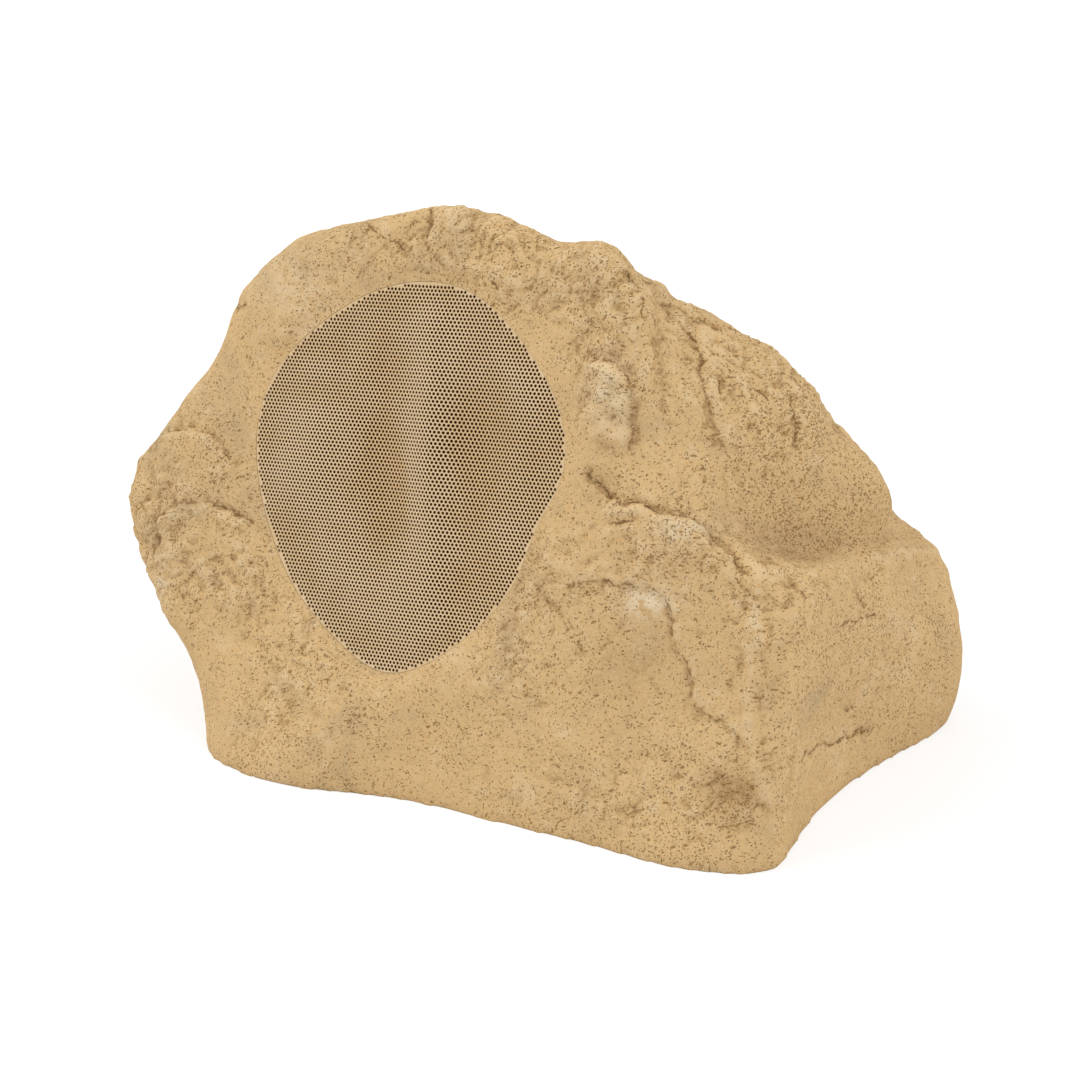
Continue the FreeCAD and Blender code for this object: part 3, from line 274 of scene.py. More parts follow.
def applied_copy(piece):
    """A bmesh of a piece with its modifiers applied."""
    graph = bpy.context.evaluated_depsgraph_get()
    data = bpy.data.meshes.new_from_object(piece.evaluated_get(graph))
    mesh = bmesh.new()
    mesh.from_mesh(data)
    bpy.data.meshes.remove(data)
    return mesh


def set_smooth(mesh, smooth):
    """Shades every face of a bmesh smooth or flat."""
    for face in mesh.faces:
        face.smooth = smooth


def pull_edges(mesh, edges, shift):
    """Draws new faces out of open edges, as far as a shift."""
    grown = bmesh.ops.extrude_edge_only(mesh, edges=edges)["geom"]
    moved = [item for item in grown if isinstance(item, bmesh.types.BMVert)]
    bmesh.ops.translate(mesh, verts=moved, vec=shift)


def drop(*pieces):
    """Removes pieces that were only needed on the way."""
    for piece in pieces:
        data = piece.data
        bpy.data.objects.remove(piece)
        bpy.data.meshes.remove(data)


def boundary_loops(mesh):
    """The open edges of a bmesh, sorted into loops that hang together."""
    left = {edge for edge in mesh.edges if edge.is_boundary}
    loops = []
    while left:
        found = [left.pop()]
        for edge in found:
            for vert in edge.verts:
                for other in vert.link_edges:
                    if other in left:
                        left.remove(other)
                        found.append(other)
        loops.append(found)
    return loops


def loop_points(edges):
    """The places of a loop's corners, one after the other."""
    start = edges[0].verts[0]
    belongs = set(edges)
    ordered = [start]
    edge = edges[0]
    vert = edge.other_vert(start)
    while vert is not start:
        ordered.append(vert)
        edge = next(other for other in vert.link_edges if other in belongs and other is not edge)
        vert = edge.other_vert(vert)
    return np.array([vert.co for vert in ordered])


def neighbour_average(edges, values, rounds):
    """The values of a mesh's vertices, each evened out with its neighbours a number of times."""
    first, second = edges[:, 0], edges[:, 1]
    count = len(values)
    degree = np.bincount(first, minlength=count) + np.bincount(second, minlength=count)
    for _ in range(rounds):
        total = np.bincount(first, weights=values[second], minlength=count)
        total += np.bincount(second, weights=values[first], minlength=count)
        values = 0.5 * values + 0.5 * total / np.maximum(degree, 1)
    return values


def direction(turn, lift):
    """The way to what stands at a turn round the object and a lift above the ground, both in radians."""
    return (math.sin(turn) * math.cos(lift), -math.cos(turn) * math.cos(lift), math.sin(lift))


class View:
    """A direction to look at the rock from, with places given in pixels of the photograph's frame."""

    def __init__(self, azimuth, elevation):
        turn = math.radians(azimuth)
        self.back = np.array(direction(turn, math.radians(elevation)))
        self.right = np.array((math.cos(turn), math.sin(turn), 0.0))
        self.up = np.cross(self.back, self.right)
        self.eye = np.array(PHOTO_TARGET) + PHOTO_DISTANCE * self.back

    def pixels(self, points):
        """Each point's pixel, and the millimetres that a pixel spans there."""
        reach = points - self.eye
        depth = -(reach @ self.back)
        across = PHOTO_SIZE / 2 + PHOTO_FOCAL * (reach @ self.right) / depth
        down = PHOTO_SIZE / 2 - PHOTO_FOCAL * (reach @ self.up) / depth
        return np.column_stack((across, down)), depth / PHOTO_FOCAL / MM

    def facing(self, points, normals, low=-0.2, high=0.2):
        """How far each point faces the view, eased from 0 to 1 between two cosines."""
        towards = self.eye - points
        towards /= np.linalg.norm(towards, axis=1)[:, None]
        return smoothstep(low, high, np.sum(towards * normals, axis=1))


PHOTO = View(PHOTO_AZIMUTH, PHOTO_ELEVATION)


def ellipse(pixels, middle, half):
    """A soft spot that is 1 in the middle of an ellipse and fades out round its edge."""
    across = (pixels[:, 0] - middle[0]) / half[0]
    down = (pixels[:, 1] - middle[1]) / half[1]
    return np.exp(-(across ** 2 + down ** 2))


def spots(pixels, table):
    """The sum of a table's soft spots at each pixel, each as high as the table says."""
    total = np.zeros(len(pixels))
    for middle, half, height in table.values():
        total += height * ellipse(pixels, middle, half)
    return total


def strongest(pixels, table):
    """The strongest of a table's soft spots at each pixel."""
    total = np.zeros(len(pixels))
    for middle, half, strength in table.values():
        total = np.maximum(total, strength * ellipse(pixels, middle, half))
    return total


def path_distance(points, path):
    """Distance to a path, the side of it (1 to its left as seen, -1 to its right) and the share along it."""
    path = np.array(path, float)
    best = np.full(len(points), np.inf)
    side = np.zeros(len(points))
    along = np.zeros(len(points))
    count = len(path) - 1
    for i in range(count):
        start, span = path[i], path[i + 1] - path[i]
        share = np.clip((points - start) @ span / (span @ span), 0.0, 1.0)
        gap = points - start - share[:, None] * span
        distance = np.linalg.norm(gap, axis=1)
        closer = distance < best
        turn = span[0] * (points[:, 1] - start[1]) - span[1] * (points[:, 0] - start[0])
        best = np.where(closer, distance, best)
        side = np.where(closer, -np.sign(turn), side)
        along = np.where(closer, (i + share) / count, along)
    return best, side, along


def near_path(pixels, path, margin):
    """The indices of the pixels in a path's box, widened by a margin."""
    path = np.array(path, float)
    low, high = path.min(0) - margin, path.max(0) + margin
    return np.nonzero(np.all((pixels > low) & (pixels < high), axis=1))[0]


# How far round the rock the forms and the feet reach, as cosines that they fade out between
FORM_FADE = (-0.95, -0.45)
FOOT_FADE = (-0.7, -0.3)
FOOT_HEIGHT = 60.0 * MM
LEVEL_SHARE = 0.2


def form_height(points, normals):
    """The height of the large forms at each point, in millimetres."""
    pixels, _ = PHOTO.pixels(points)
    return spots(pixels, FORMS) * PHOTO.facing(points, normals, *FORM_FADE)


def foot_shift(points, normals):
    """How far the feet spread along the ground at each point, in metres."""
    pixels, _ = PHOTO.pixels(points)
    reach = MM * spots(pixels, FEET) * PHOTO.facing(points, normals, *FOOT_FADE)
    reach *= np.exp(-(points[:, 2] / FOOT_HEIGHT) ** 2)
    level = normals[:, :2] / np.maximum(np.linalg.norm(normals[:, :2], axis=1), LEVEL_SHARE)[:, None]
    return reach[:, None] * level


# The rock's relief

FAR_LINE = 9.0
LINE_REACH = 3.5
DEEPEST = -5.0
PIXEL_WIDTH = 0.5
SWAY_PIXELS = 5.0


class Relief:
    """The height of the coat over the rock's smooth form, in millimetres, with its cracks and rough areas."""

    def __init__(self, points, normals):
        self.points = points
        self.normals = normals
        self.height = np.zeros(len(points))
        self.crack = np.zeros(len(points))
        self.line = np.full(len(points), FAR_LINE)
        self.line_gate = np.zeros(len(points))
        self.rough = smoothstep(-0.25, 0.45, noise_field(points, 0.085, 3.1, 2.0))
        self.sway = np.column_stack([noise_field(points, 0.011, shift, 2.0) for shift in (7.7, 19.3)])
        self.chip = 0.75 + 0.5 * noise_field(points, 0.006, 41.0)
        self.set_photo_areas()

    def look_from(self, view):
        """Prepares a view: its pixels, swayed a little so that no stroke is smooth, and what faces it."""
        pixels, scale = view.pixels(self.points)
        return pixels + SWAY_PIXELS * self.sway, scale, view.facing(self.points, self.normals)

    def set_photo_areas(self):
        """Rough, smooth and dashed areas, dark spots of a smear and of painted shade, and pale spots where the
        photograph shows them.
        """
        pixels, _, facing = self.look_from(PHOTO)
        for middle, half in ROUGH_AREAS.values():
            spot = np.minimum(1.0, 1.3 * ellipse(pixels, middle, half)) * facing
            self.rough += (1.0 - self.rough) * spot
        for middle, half in SMOOTH_AREAS.values():
            spot = np.minimum(1.0, 1.3 * ellipse(pixels, middle, half)) * facing
            self.rough *= 1.0 - 0.85 * spot
        thick = np.minimum(1.0, strongest(pixels, DASHED_AREAS)) * facing
        self.dashed = np.maximum(0.8 * self.rough, thick)
        # dark spots: a real smear at the foot, painted shade in the scoop, on the dish, in the pit and under the
        # ledge
        self.stain = strongest(pixels, STAINS_AND_SHADE) * facing
        self.pale = strongest(pixels, PALE_SPOTS) * facing

    def add_ground(self, strength):
        """Lumps, knobs, torn plates and creases over the whole rock."""
        points, rough = self.points, self.rough
        self.height += strength * 1.5 * noise_field(points, 0.055, 11.0, 2.0)
        self.height += strength * (0.35 + 1.5 * rough) * noise_field(points, 0.021, 23.0, 2.0)
        self.height += strength * (0.15 + 1.0 * rough) * noise_field(points, 0.0085, 31.0, 2.0)
        layers = 3.2 * noise_field(points, 0.040, 5.0, 3.0)
        share = layers - np.floor(layers)
        torn = np.floor(layers) + smoothstep(0.0, 0.16, share) - layers + 0.5
        self.height += strength * (0.15 + 1.5 * rough) * torn
        self.crack = np.maximum(self.crack, 0.3 * rough * np.exp(-((share - 0.01) / 0.035) ** 2))
        crease = np.abs(noise_field(points, 0.030, 57.0, 2.0))
        gate = smoothstep(0.10, 0.30, noise_field(points, 0.026, 71.0))
        groove = gate * np.exp(-(crease / 0.045) ** 2)
        self.height -= strength * 1.2 * groove * (0.3 + 0.7 * rough)
        self.crack = np.maximum(self.crack, 0.35 * groove * (0.25 + 0.75 * rough))

    def add_line(self, chosen, gap, gate):
        """Keeps the signed distance to a thin dark line, in millimetres, where it is the strongest so far."""
        gate = gate * np.exp(-(gap / LINE_REACH) ** 2)
        stronger = gate > self.line_gate[chosen]
        places = chosen[stronger]
        self.line[places] = gap[stronger]
        self.line_gate[places] = gate[stronger]

    def add_torn_edge(self, seen, height, reach, path):
        """A plate's broken edge: raised on the left of the path, with a hollow along its foot."""
        pixels, scale, facing = seen
        chosen = near_path(pixels, path, 2.5 * reach / PIXEL_WIDTH)
        distance, side, along = path_distance(pixels[chosen], path)
        gap = distance * scale[chosen] * side
        ends = smoothstep(0.0, 0.15, along) * smoothstep(1.0, 0.85, along)
        raised = smoothstep(-0.6, 1.4, gap) * np.exp(-(np.maximum(gap, 0.0) / reach) ** 2)
        hollow = 0.4 * np.exp(-((gap + 1.5) / (0.3 * reach)) ** 2) * (gap < 0.0)
        amount = facing[chosen] * ends * self.chip[chosen]
        self.height[chosen] += height * amount * (raised - hollow)
        self.add_line(chosen, gap + 0.8, 0.40 * amount)

    def add_crack(self, seen, half_width, depth, path):
        """A crack along a path, which runs out at its ends."""
        pixels, scale, facing = seen
        chosen = near_path(pixels, path, 6.0 * half_width / PIXEL_WIDTH)
        distance, side, along = path_distance(pixels[chosen], path)
        ends = smoothstep(-0.02, 0.2, along) * smoothstep(1.02, 0.8, along)
        gap = distance * scale[chosen]
        amount = facing[chosen] * ends * self.chip[chosen]
        profile = amount * np.exp(-(gap / half_width) ** 2)
        self.height[chosen] -= depth * profile
        self.crack[chosen] = np.maximum(self.crack[chosen], 0.18 * depth * profile)
        self.add_line(chosen, gap * side, np.minimum(1.0, 0.6 + 0.15 * depth) * amount)

    def add_photo_strokes(self):
        """The torn edges, cracks, ridges and swells that the photograph shows."""
        seen = self.look_from(PHOTO)
        pixels, scale, facing = seen
        self.height += spots(pixels, SWELLS) * facing
        for height, reach, path in TORN_EDGES.values():
            self.add_torn_edge(seen, height, reach, path)
        for half_width, height, path in RIDGES.values():
            distance, _, _ = path_distance(pixels, path)
            self.height += height * facing * np.exp(-(distance * scale / half_width) ** 2)
        for half_width, depth, path in CRACKS.values():
            self.add_crack(seen, half_width, depth, path)

    def add_other_strokes(self, seed):
        """Like torn edges and cracks on the sides that the photograph doesn't show."""
        chance = random.Random(seed)
        hidden = 1.0 - PHOTO.facing(self.points, self.normals)
        for azimuth, elevation in OTHER_VIEWS:
            pixels, scale, facing = self.look_from(View(azimuth, elevation))
            seen = (pixels, scale, facing * hidden)
            for _ in range(EDGES_PER_VIEW):
                path = wandering_path(chance, *OTHER_FIELD, 6, 26.0)
                self.add_torn_edge(seen, chance.uniform(1.6, 2.8), chance.uniform(9.0, 16.0), path)
            for _ in range(CRACKS_PER_VIEW):
                path = wandering_path(chance, *OTHER_FIELD, 4, 15.0)
                self.add_crack(seen, chance.uniform(1.4, 1.8), chance.uniform(1.2, 3.0), path)

    def hold(self, share):
        """Takes part of the relief away where something fits on the rock."""
        self.height *= share
        self.crack *= share
        self.line_gate *= share


def wandering_path(chance, across, down, corners, stride):
    """A path of a few corners that starts anywhere in a field and keeps roughly to one direction."""
    place = Vector((chance.uniform(*across), chance.uniform(*down)))
    heading = chance.uniform(0.0, 2.0 * math.pi)
    path = [tuple(place)]
    for _ in range(corners - 1):
        heading += chance.uniform(-0.7, 0.7)
        place = place + stride * chance.uniform(0.6, 1.3) * Vector((math.cos(heading), math.sin(heading)))
        path.append(tuple(place))
    return path


# The rock's shell

SKIN_FOLD = math.radians(48.0)
BASE_LEVEL = 0.3 * MM
TUNNEL_LENGTH = 30.0 * MM
RESIN_FOLD = math.radians(35.0)
FEWEST_FACES = 1000
SMOOTH_ROUNDS = 5
RIM_ROUNDS = 12
BASE_SQUARES = 2.0
RIM_SQUARES = 6.0
BEHIND_RIM = -40.0 * MM
FAR_FROM_RIM = 1000.0
NEAR_ROUNDS = 8
WIDE_ROUNDS = 60
LIP_REACH = 8.0
LIP_RISE = 0.15 * MM
MOUTH_CUTS = 6
MOUTH_ROOM = 0.15 * MM
WALL_THICKNESS = 7.0 * MM
WALL_REACH = 9.5 * MM


def outer_skin(mesh):
    """The faces of the rock's outside: what is reached from its top without crossing a sharp edge."""
    queue = [max(mesh.faces, key=lambda face: face.calc_center_median().z)]
    found = set(queue)
    while queue:
        for edge in queue.pop().edges:
            if not edge.is_manifold or edge.calc_face_angle() > SKIN_FOLD:
                continue
            for face in edge.link_faces:
                if face not in found:
                    found.add(face)
                    queue.append(face)
    return found


def closed_block(whole, skin):
    """The rock's outside as one closed block, with the pocket, the gland's seat and the base filled in."""
    block = whole.copy()
    block.faces.ensure_lookup_table()
    kept = {face.index for face in skin}
    bmesh.ops.delete(block, geom=[face for face in block.faces if face.index not in kept], context="FACES")
    open_edges = [edge for edge in block.edges if edge.is_boundary]
    filled = bmesh.ops.holes_fill(block, edges=open_edges, sides=0)["faces"]
    bmesh.ops.triangulate(block, faces=filled)
    bmesh.ops.recalc_face_normals(block, faces=block.faces)
    return block


def loop_way(loop):
    """The way out of the hollow through one loop of its open edges: down, back, or out past the grille."""
    points = loop_points(loop)
    if points[:, 2].max() < BASE_LEVEL:
        return (0.0, 0.0, -1.0)
    if points[:, 1].mean() > 0.0:
        return (0.0, 1.0, 0.0)
    return tuple(DRIVER_AXIS)


def fit_pocket(tool, space):
    """Draws the pocket's mouth in to the grille's outline, with a little room round it."""
    wide = [loop for loop in boundary_loops(tool) if loop_way(loop) == tuple(DRIVER_AXIS)]
    bmesh.ops.subdivide_edges(tool, edges=wide[0], cuts=MOUTH_CUTS)
    mouth = [loop for loop in boundary_loops(tool) if loop_way(loop) == tuple(DRIVER_AXIS)]
    verts = list({vert for edge in mouth[0] for vert in edge.verts})
    local = space.local(np.array([vert.co for vert in verts]))
    local[:, :2] *= ((space.radius(local) + MOUTH_ROOM) / np.hypot(local[:, 0], local[:, 1]))[:, None]
    for vert, place in zip(verts, local):
        vert.co = space.matrix @ Vector(place)


def sink_hollow(tool, block):
    """Moves the hollow's walls inward where the large forms do, so that the shell keeps its thickness."""
    tree = BVHTree.FromBMesh(block)
    tool.normal_update()
    walls = [vert for vert in tool.verts if tree.find_nearest(vert.co)[3] < WALL_REACH]
    normals = np.array([vert.normal for vert in walls])
    points = np.array([vert.co for vert in walls]) + WALL_THICKNESS * normals
    sunk = np.minimum(form_height(points, normals), 0.0) * MM
    for vert, depth in zip(walls, sunk):
        vert.co += vert.normal * depth


def hollow_tool(whole, skin, space):
    """The rock's inside as a closed solid that reaches out of the pocket, the gland's seat and the base."""
    tool = whole.copy()
    tool.faces.ensure_lookup_table()
    outside = {face.index for face in skin}
    for face in tool.faces:
        if all(vert.co.z < BASE_LEVEL for vert in face.verts):
            outside.add(face.index)
    bmesh.ops.delete(tool, geom=[face for face in tool.faces if face.index in outside], context="FACES")
    fit_pocket(tool, space)
    mouths = {}
    for loop in boundary_loops(tool):
        way = loop_way(loop)
        mouths[way] = loop_points(loop)
        pull_edges(tool, loop, Vector(way) * TUNNEL_LENGTH)
    open_edges = [edge for edge in tool.edges if edge.is_boundary]
    bmesh.ops.holes_fill(tool, edges=open_edges, sides=0)
    bmesh.ops.triangulate(tool, faces=tool.faces)
    bmesh.ops.recalc_face_normals(tool, faces=tool.faces)
    set_smooth(tool, True)
    for face in tool.faces:
        face.material_index = 1
    return tool, mouths[(0.0, 1.0, 0.0)]


def loop_distance(points, loop):
    """Distance from each point to a closed loop of corners, in millimetres."""
    best = np.full(len(points), np.inf)
    for start, end in zip(loop, np.roll(loop, -1, axis=0)):
        span = end - start
        share = np.clip((points - start) @ span / (span @ span), 0.0, 1.0)
        best = np.minimum(best, np.linalg.norm(points - start - share[:, None] * span, axis=1))
    return best / MM


def rim_gap(points, space):
    """How far each point lies outside the grille's outline, in millimetres; far for what is behind it."""
    local = space.local(points)
    gap = (np.hypot(local[:, 0], local[:, 1]) - space.radius(local)) / MM
    return np.where(local[:, 2] > BEHIND_RIM, gap, FAR_FROM_RIM)


def smooth_verts(mesh, verts, rounds, upward):
    """Evens out some vertices a number of times, across and, if asked, up and down."""
    for _ in range(rounds):
        bmesh.ops.smooth_vert(mesh, verts=verts, factor=0.5, use_axis_x=True, use_axis_y=True,
                              use_axis_z=upward)


def remeshed(block, voxel):
    """The block as even small squares, with the steps of the voxels smoothed away."""
    rough = new_piece("rock_block", block, [])
    modifier = rough.modifiers.new("even squares", "REMESH")
    modifier.mode = "VOXEL"
    modifier.voxel_size = voxel
    mesh = applied_copy(rough)
    drop(rough)
    lifted = [vert for vert in mesh.verts if vert.co.z > BASE_SQUARES * voxel]
    smooth_verts(mesh, lifted, SMOOTH_ROUNDS, True)
    low = [vert for vert in mesh.verts if vert.co.z < RIM_SQUARES * voxel]
    smooth_verts(mesh, low, RIM_ROUNDS, False)
    mesh.normal_update()
    return mesh


def carve(mesh, space, seat, settings):
    """Moves the block's vertices out and in by the coat's relief, and stores its cracks and hollows."""
    points = np.array([vert.co for vert in mesh.verts])
    normals = np.array([vert.normal for vert in mesh.verts])
    edges = np.array([[vert.index for vert in edge.verts] for edge in mesh.edges])
    relief = Relief(points, normals)
    relief.add_ground(settings.relief)
    relief.add_photo_strokes()
    relief.add_other_strokes(settings.seed)
    gap = rim_gap(points, space)
    lifted = smoothstep(0.0, 10.0, points[:, 2] / MM)
    hold = smoothstep(1.0, 24.0, points[:, 2] / MM) * (0.25 + 0.75 * smoothstep(1.0, 12.0, gap))
    hold *= smoothstep(2.0, 12.0, loop_distance(points, seat))
    relief.hold(hold)
    height = np.maximum(relief.height, DEEPEST) + lifted * form_height(points, normals)
    moved = points + normals * (height * MM)[:, None]
    moved[:, :2] += foot_shift(points, normals)
    lip = np.exp(-(np.maximum(gap, 0.0) / LIP_REACH) ** 2) * (LIP_RISE - space.local(moved)[:, 2])
    moved += lip[:, None] * np.array(DRIVER_AXIS)
    base = points[:, 2] < BASE_SQUARES * settings.voxel
    moved[base, 2] = np.minimum(points[base, 2], moved[base, 2])
    for vert, place in zip(mesh.verts, moved):
        vert.co = place
    near = neighbour_average(edges, relief.height, NEAR_ROUNDS) - relief.height
    wide = neighbour_average(edges, relief.height, WIDE_ROUNDS) - relief.height
    store(mesh, "hollow", np.clip(0.9 * near + 0.35 * wide, -1.0, 1.0))
    for name in ("crack", "dashed", "stain", "pale", "line", "line_gate"):
        store(mesh, name, getattr(relief, name))


def store(mesh, name, values):
    """Keeps one number for each vertex under a name that a material can read."""
    layer = mesh.verts.layers.float.new(name)
    for vert, value in zip(mesh.verts, values):
        vert[layer] = value


class RockSettings(bpy.types.PropertyGroup):
    """Sizes and colours of the rock."""
    voxel: FloatProperty(name="Mesh size", description="Width of the squares of the rock's mesh",
                         default=2.23 * MM, unit="LENGTH", precision=5)
    relief: FloatProperty(name="Relief", description="Strength of the lumps and torn plates", default=1.0)
    seed: IntProperty(name="Seed", description="Start of the draws for the unseen sides", default=7)
    tan: FloatVectorProperty(name="Tan", description="Main colour of the coat", subtype="COLOR",
                             default=(0.640, 0.430, 0.205))
    pale: FloatVectorProperty(name="Pale", description="Colour of rubbed places", subtype="COLOR",
                              default=(0.740, 0.560, 0.330))
    chalk: FloatVectorProperty(name="Chalk", description="Colour of the whitish flecks", subtype="COLOR",
                               default=(0.800, 0.660, 0.450))
    dark: FloatVectorProperty(name="Dark", description="Colour of cracks and specks", subtype="COLOR",
                              default=(0.190, 0.098, 0.035))
    orange: FloatVectorProperty(name="Orange", description="Colour of the warm flecks", subtype="COLOR",
                                default=(0.600, 0.310, 0.095))
    rust: FloatVectorProperty(name="Rust", description="Colour of the thin dashes", subtype="COLOR",
                              default=(0.245, 0.118, 0.034))
    # This colour also paints shade: in the hollows, and in the dark spots of the scoop, the dish, the pit and
    # under the ledge.
    silt_and_shade: FloatVectorProperty(name="Silt", description="Colour of what settled in the hollows",
                              subtype="COLOR", default=(0.330, 0.190, 0.075))
    grey: FloatVectorProperty(name="Grey tan", description="Colour of the dusty patches", subtype="COLOR",
                              default=(0.520, 0.368, 0.190))


class ROCK_OT_shell(bpy.types.Operator):
    """Makes the rock's carved shell over the CAD shell"""
    bl_idname = "rock_speaker.shell"
    bl_label = "Rock shell"

    def execute(self, context):
        settings = context.scene.rock_settings
        whole = merged_copy("rock_shell")
        skin = outer_skin(whole)
        space = GrilleSpace()
        tool, seat = hollow_tool(whole, skin, space)
        solid = closed_block(whole, skin)
        sink_hollow(tool, solid)
        block = remeshed(solid, settings.voxel)
        whole.free()
        carve(block, space, seat, settings)
        finishes = [sandstone_coat(settings), moulded_resin(settings)]
        carved = new_piece("rock_carved", block, finishes)
        hollow = new_piece("rock_hollow", tool, finishes)
        cut = carved.modifiers.new("hollow", "BOOLEAN")
        cut.operation = "DIFFERENCE"
        cut.solver = "MANIFOLD"
        cut.material_mode = "INDEX"
        cut.object = hollow
        mesh = applied_copy(carved)
        drop(carved, hollow)
        set_smooth(mesh, True)
        for edge in mesh.edges:
            kinds = {face.material_index for face in edge.link_faces}
            folded = 1 in kinds and edge.calc_face_angle(0.0) > RESIN_FOLD
            edge.smooth = len(kinds) == 1 and not folded
        rock = new_piece("rock_carved_shell", mesh, finishes)
        if len(rock.data.polygons) < FEWEST_FACES:
            raise RuntimeError("the rock's shell was lost when its hollow was cut")
        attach(rock, CABINET)
        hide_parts("rock_shell")
        return {"FINISHED"}


# The grille and its scrim

OUTLINE_RAYS = 180


class GrilleSpace:
    """The grille's own space: across, up and out of its sheet, with its outline taken from the CAD grille."""

    def __init__(self):
        across = Vector((1.0, 0.0, 0.0))
        upward = DRIVER_AXIS.cross(across)
        turn = Matrix((across, upward, DRIVER_AXIS)).transposed().to_4x4()
        mesh = merged_copy("grille")
        local = np.array([turn.transposed() @ vert.co for vert in mesh.verts])
        low, high = local.min(0), local.max(0)
        middle = Vector((low + high) / 2)
        middle.z = high[2]
        self.matrix = turn @ Matrix.Translation(middle)
        self.depth = high[2] - low[2]
        bmesh.ops.transform(mesh, matrix=self.matrix.inverted(), verts=mesh.verts)
        tree = BVHTree.FromBMesh(mesh)
        mesh.free()
        self.reach = max(high[0] - low[0], high[1] - low[1])
        angles = [2.0 * math.pi * i / OUTLINE_RAYS for i in range(OUTLINE_RAYS)]
        self.radii = np.array([self.radius_at(tree, angle) for angle in angles])

    def radius_at(self, tree, angle):
        """The outline's distance from the middle at one angle, found from outside."""
        way = Vector((math.cos(angle), math.sin(angle), 0.0))
        start = way * self.reach + Vector((0.0, 0.0, -0.5 * self.depth))
        place = tree.ray_cast(start, -way)[0]
        if place is None:
            raise RuntimeError("the grille's rim wasn't found")
        return math.hypot(place.x, place.y)

    def local(self, points):
        """Places in the grille's own space."""
        back = np.array(self.matrix.inverted())
        return points @ back[:3, :3].T + back[:3, 3]

    def radius(self, points):
        """The outline's distance from the middle, in each point's direction."""
        turns = np.arctan2(points[:, 1], points[:, 0]) / (2.0 * math.pi) * OUTLINE_RAYS
        rays = np.arange(OUTLINE_RAYS + 1)
        return np.interp(turns % OUTLINE_RAYS, rays, np.append(self.radii, self.radii[0]))

    def undulation(self, points, height):
        """How far the pressed sheet swells at each point, in metres; nothing at its rim."""
        flat = np.column_stack((points[:, :2], np.zeros(len(points))))
        placed = np.array([self.matrix @ Vector(point) for point in flat])
        pixels, _ = PHOTO.pixels(placed)
        swell = 0.9 * noise_field(flat, 0.040, 13.0, 2.0) + spots(pixels, SHEET_SWELLS)
        inset = self.radius(points) - np.hypot(points[:, 0], points[:, 1])
        return height * swell * MM * smoothstep(1.0 * MM, 20.0 * MM, inset)


def lattice_sheet(space, pitch, turn, inset, margin):
    """A flat sheet of triangles on a triangular lattice, cut to the grille's outline less an inset.
    Corners closer to the outline than the margin are moved onto it."""
    reach = 0.5 * space.reach
    columns = int(3.5 * reach / pitch)
    rows = int(2.6 * reach / pitch)
    sheet = bmesh.new()
    bmesh.ops.create_grid(sheet, x_segments=columns, y_segments=rows, size=1.0)
    width, height = 0.5 * pitch * columns, 0.5 * pitch * rows
    shear = Matrix(((width, 0.5 * height, 0, 0), (0, math.sqrt(0.75) * height, 0, 0),
                    (0, 0, 1, 0), (0, 0, 0, 1)))
    bmesh.ops.transform(sheet, matrix=Matrix.Rotation(turn, 4, "Z") @ shear, verts=sheet.verts)
    bmesh.ops.triangulate(sheet, faces=sheet.faces, quad_method="SHORT_EDGE")
    points = np.array([vert.co for vert in sheet.verts])
    edge = space.radius(points) - inset
    distance = np.hypot(points[:, 0], points[:, 1])
    inside = distance < edge - margin
    outside = [vert for vert, keep in zip(sheet.verts, inside) if not keep]
    lost = [face for face in sheet.faces if not any(inside[vert.index] for vert in face.verts)]
    for vert in outside:
        vert.co *= edge[vert.index] / distance[vert.index]
    bmesh.ops.delete(sheet, geom=lost, context="FACES")
    return sheet


def press(sheet, space, height, sink):
    """Swells a flat sheet as the pressed grille is, a little below its outer face, and puts it in its place.
    Gives back how far each corner was lifted, in metres."""
    points = np.array([vert.co for vert in sheet.verts])
    lifted = space.undulation(points, height)
    for vert, lift in zip(sheet.verts, lifted):
        vert.co.z += lift - sink
    bmesh.ops.transform(sheet, matrix=space.matrix, verts=sheet.verts)
    return lifted


def thicken(piece, thickness):
    """Gives a sheet its thickness, on the side away from its face."""
    wall = piece.modifiers.new("thickness", "SOLIDIFY")
    wall.thickness = thickness
    wall.offset = -1.0


class GrilleSettings(bpy.types.PropertyGroup):
    """Sizes and colours of the grille and its scrim."""
    pitch: FloatProperty(name="Pitch", description="Distance from hole to hole", default=2.36 * MM,
                         unit="LENGTH", precision=5)
    hole: FloatProperty(name="Hole", description="Width of a hole across its corners", default=1.92 * MM,
                        unit="LENGTH", precision=5)
    thickness: FloatProperty(name="Sheet", description="Thickness of the sheet", default=0.7 * MM,
                             unit="LENGTH", precision=5)
    turn: FloatProperty(name="Turn", description="Slope of the rows of holes", default=math.radians(5.0),
                        subtype="ANGLE")
    swell: FloatProperty(name="Swell", description="Strength of the sheet's soft pressing", default=1.25)
    cloth: FloatProperty(name="Cloth", description="Thickness of the scrim", default=0.4 * MM,
                         unit="LENGTH", precision=5)
    weave: FloatProperty(name="Cloth mesh", description="Mesh size of the scrim", default=5.0 * MM,
                         unit="LENGTH", precision=5)
    paint: FloatVectorProperty(name="Paint", description="Colour of the grille", subtype="COLOR",
                               default=(0.655, 0.472, 0.266))
    # These two patch colours also paint shade in the sheet's hollows and a highlight on its swells.
    brown_and_shade: FloatVectorProperty(name="Brown", description="Colour of the grille's warm patches",
                               subtype="COLOR", default=(0.622, 0.424, 0.220))
    cream_and_highlight: FloatVectorProperty(name="Cream", description="Colour of the grille's rubbed patches",
                               subtype="COLOR", default=(0.685, 0.510, 0.305))
    black: FloatVectorProperty(name="Scrim", description="Colour of the scrim", subtype="COLOR",
                               default=(0.050, 0.020, 0.003))


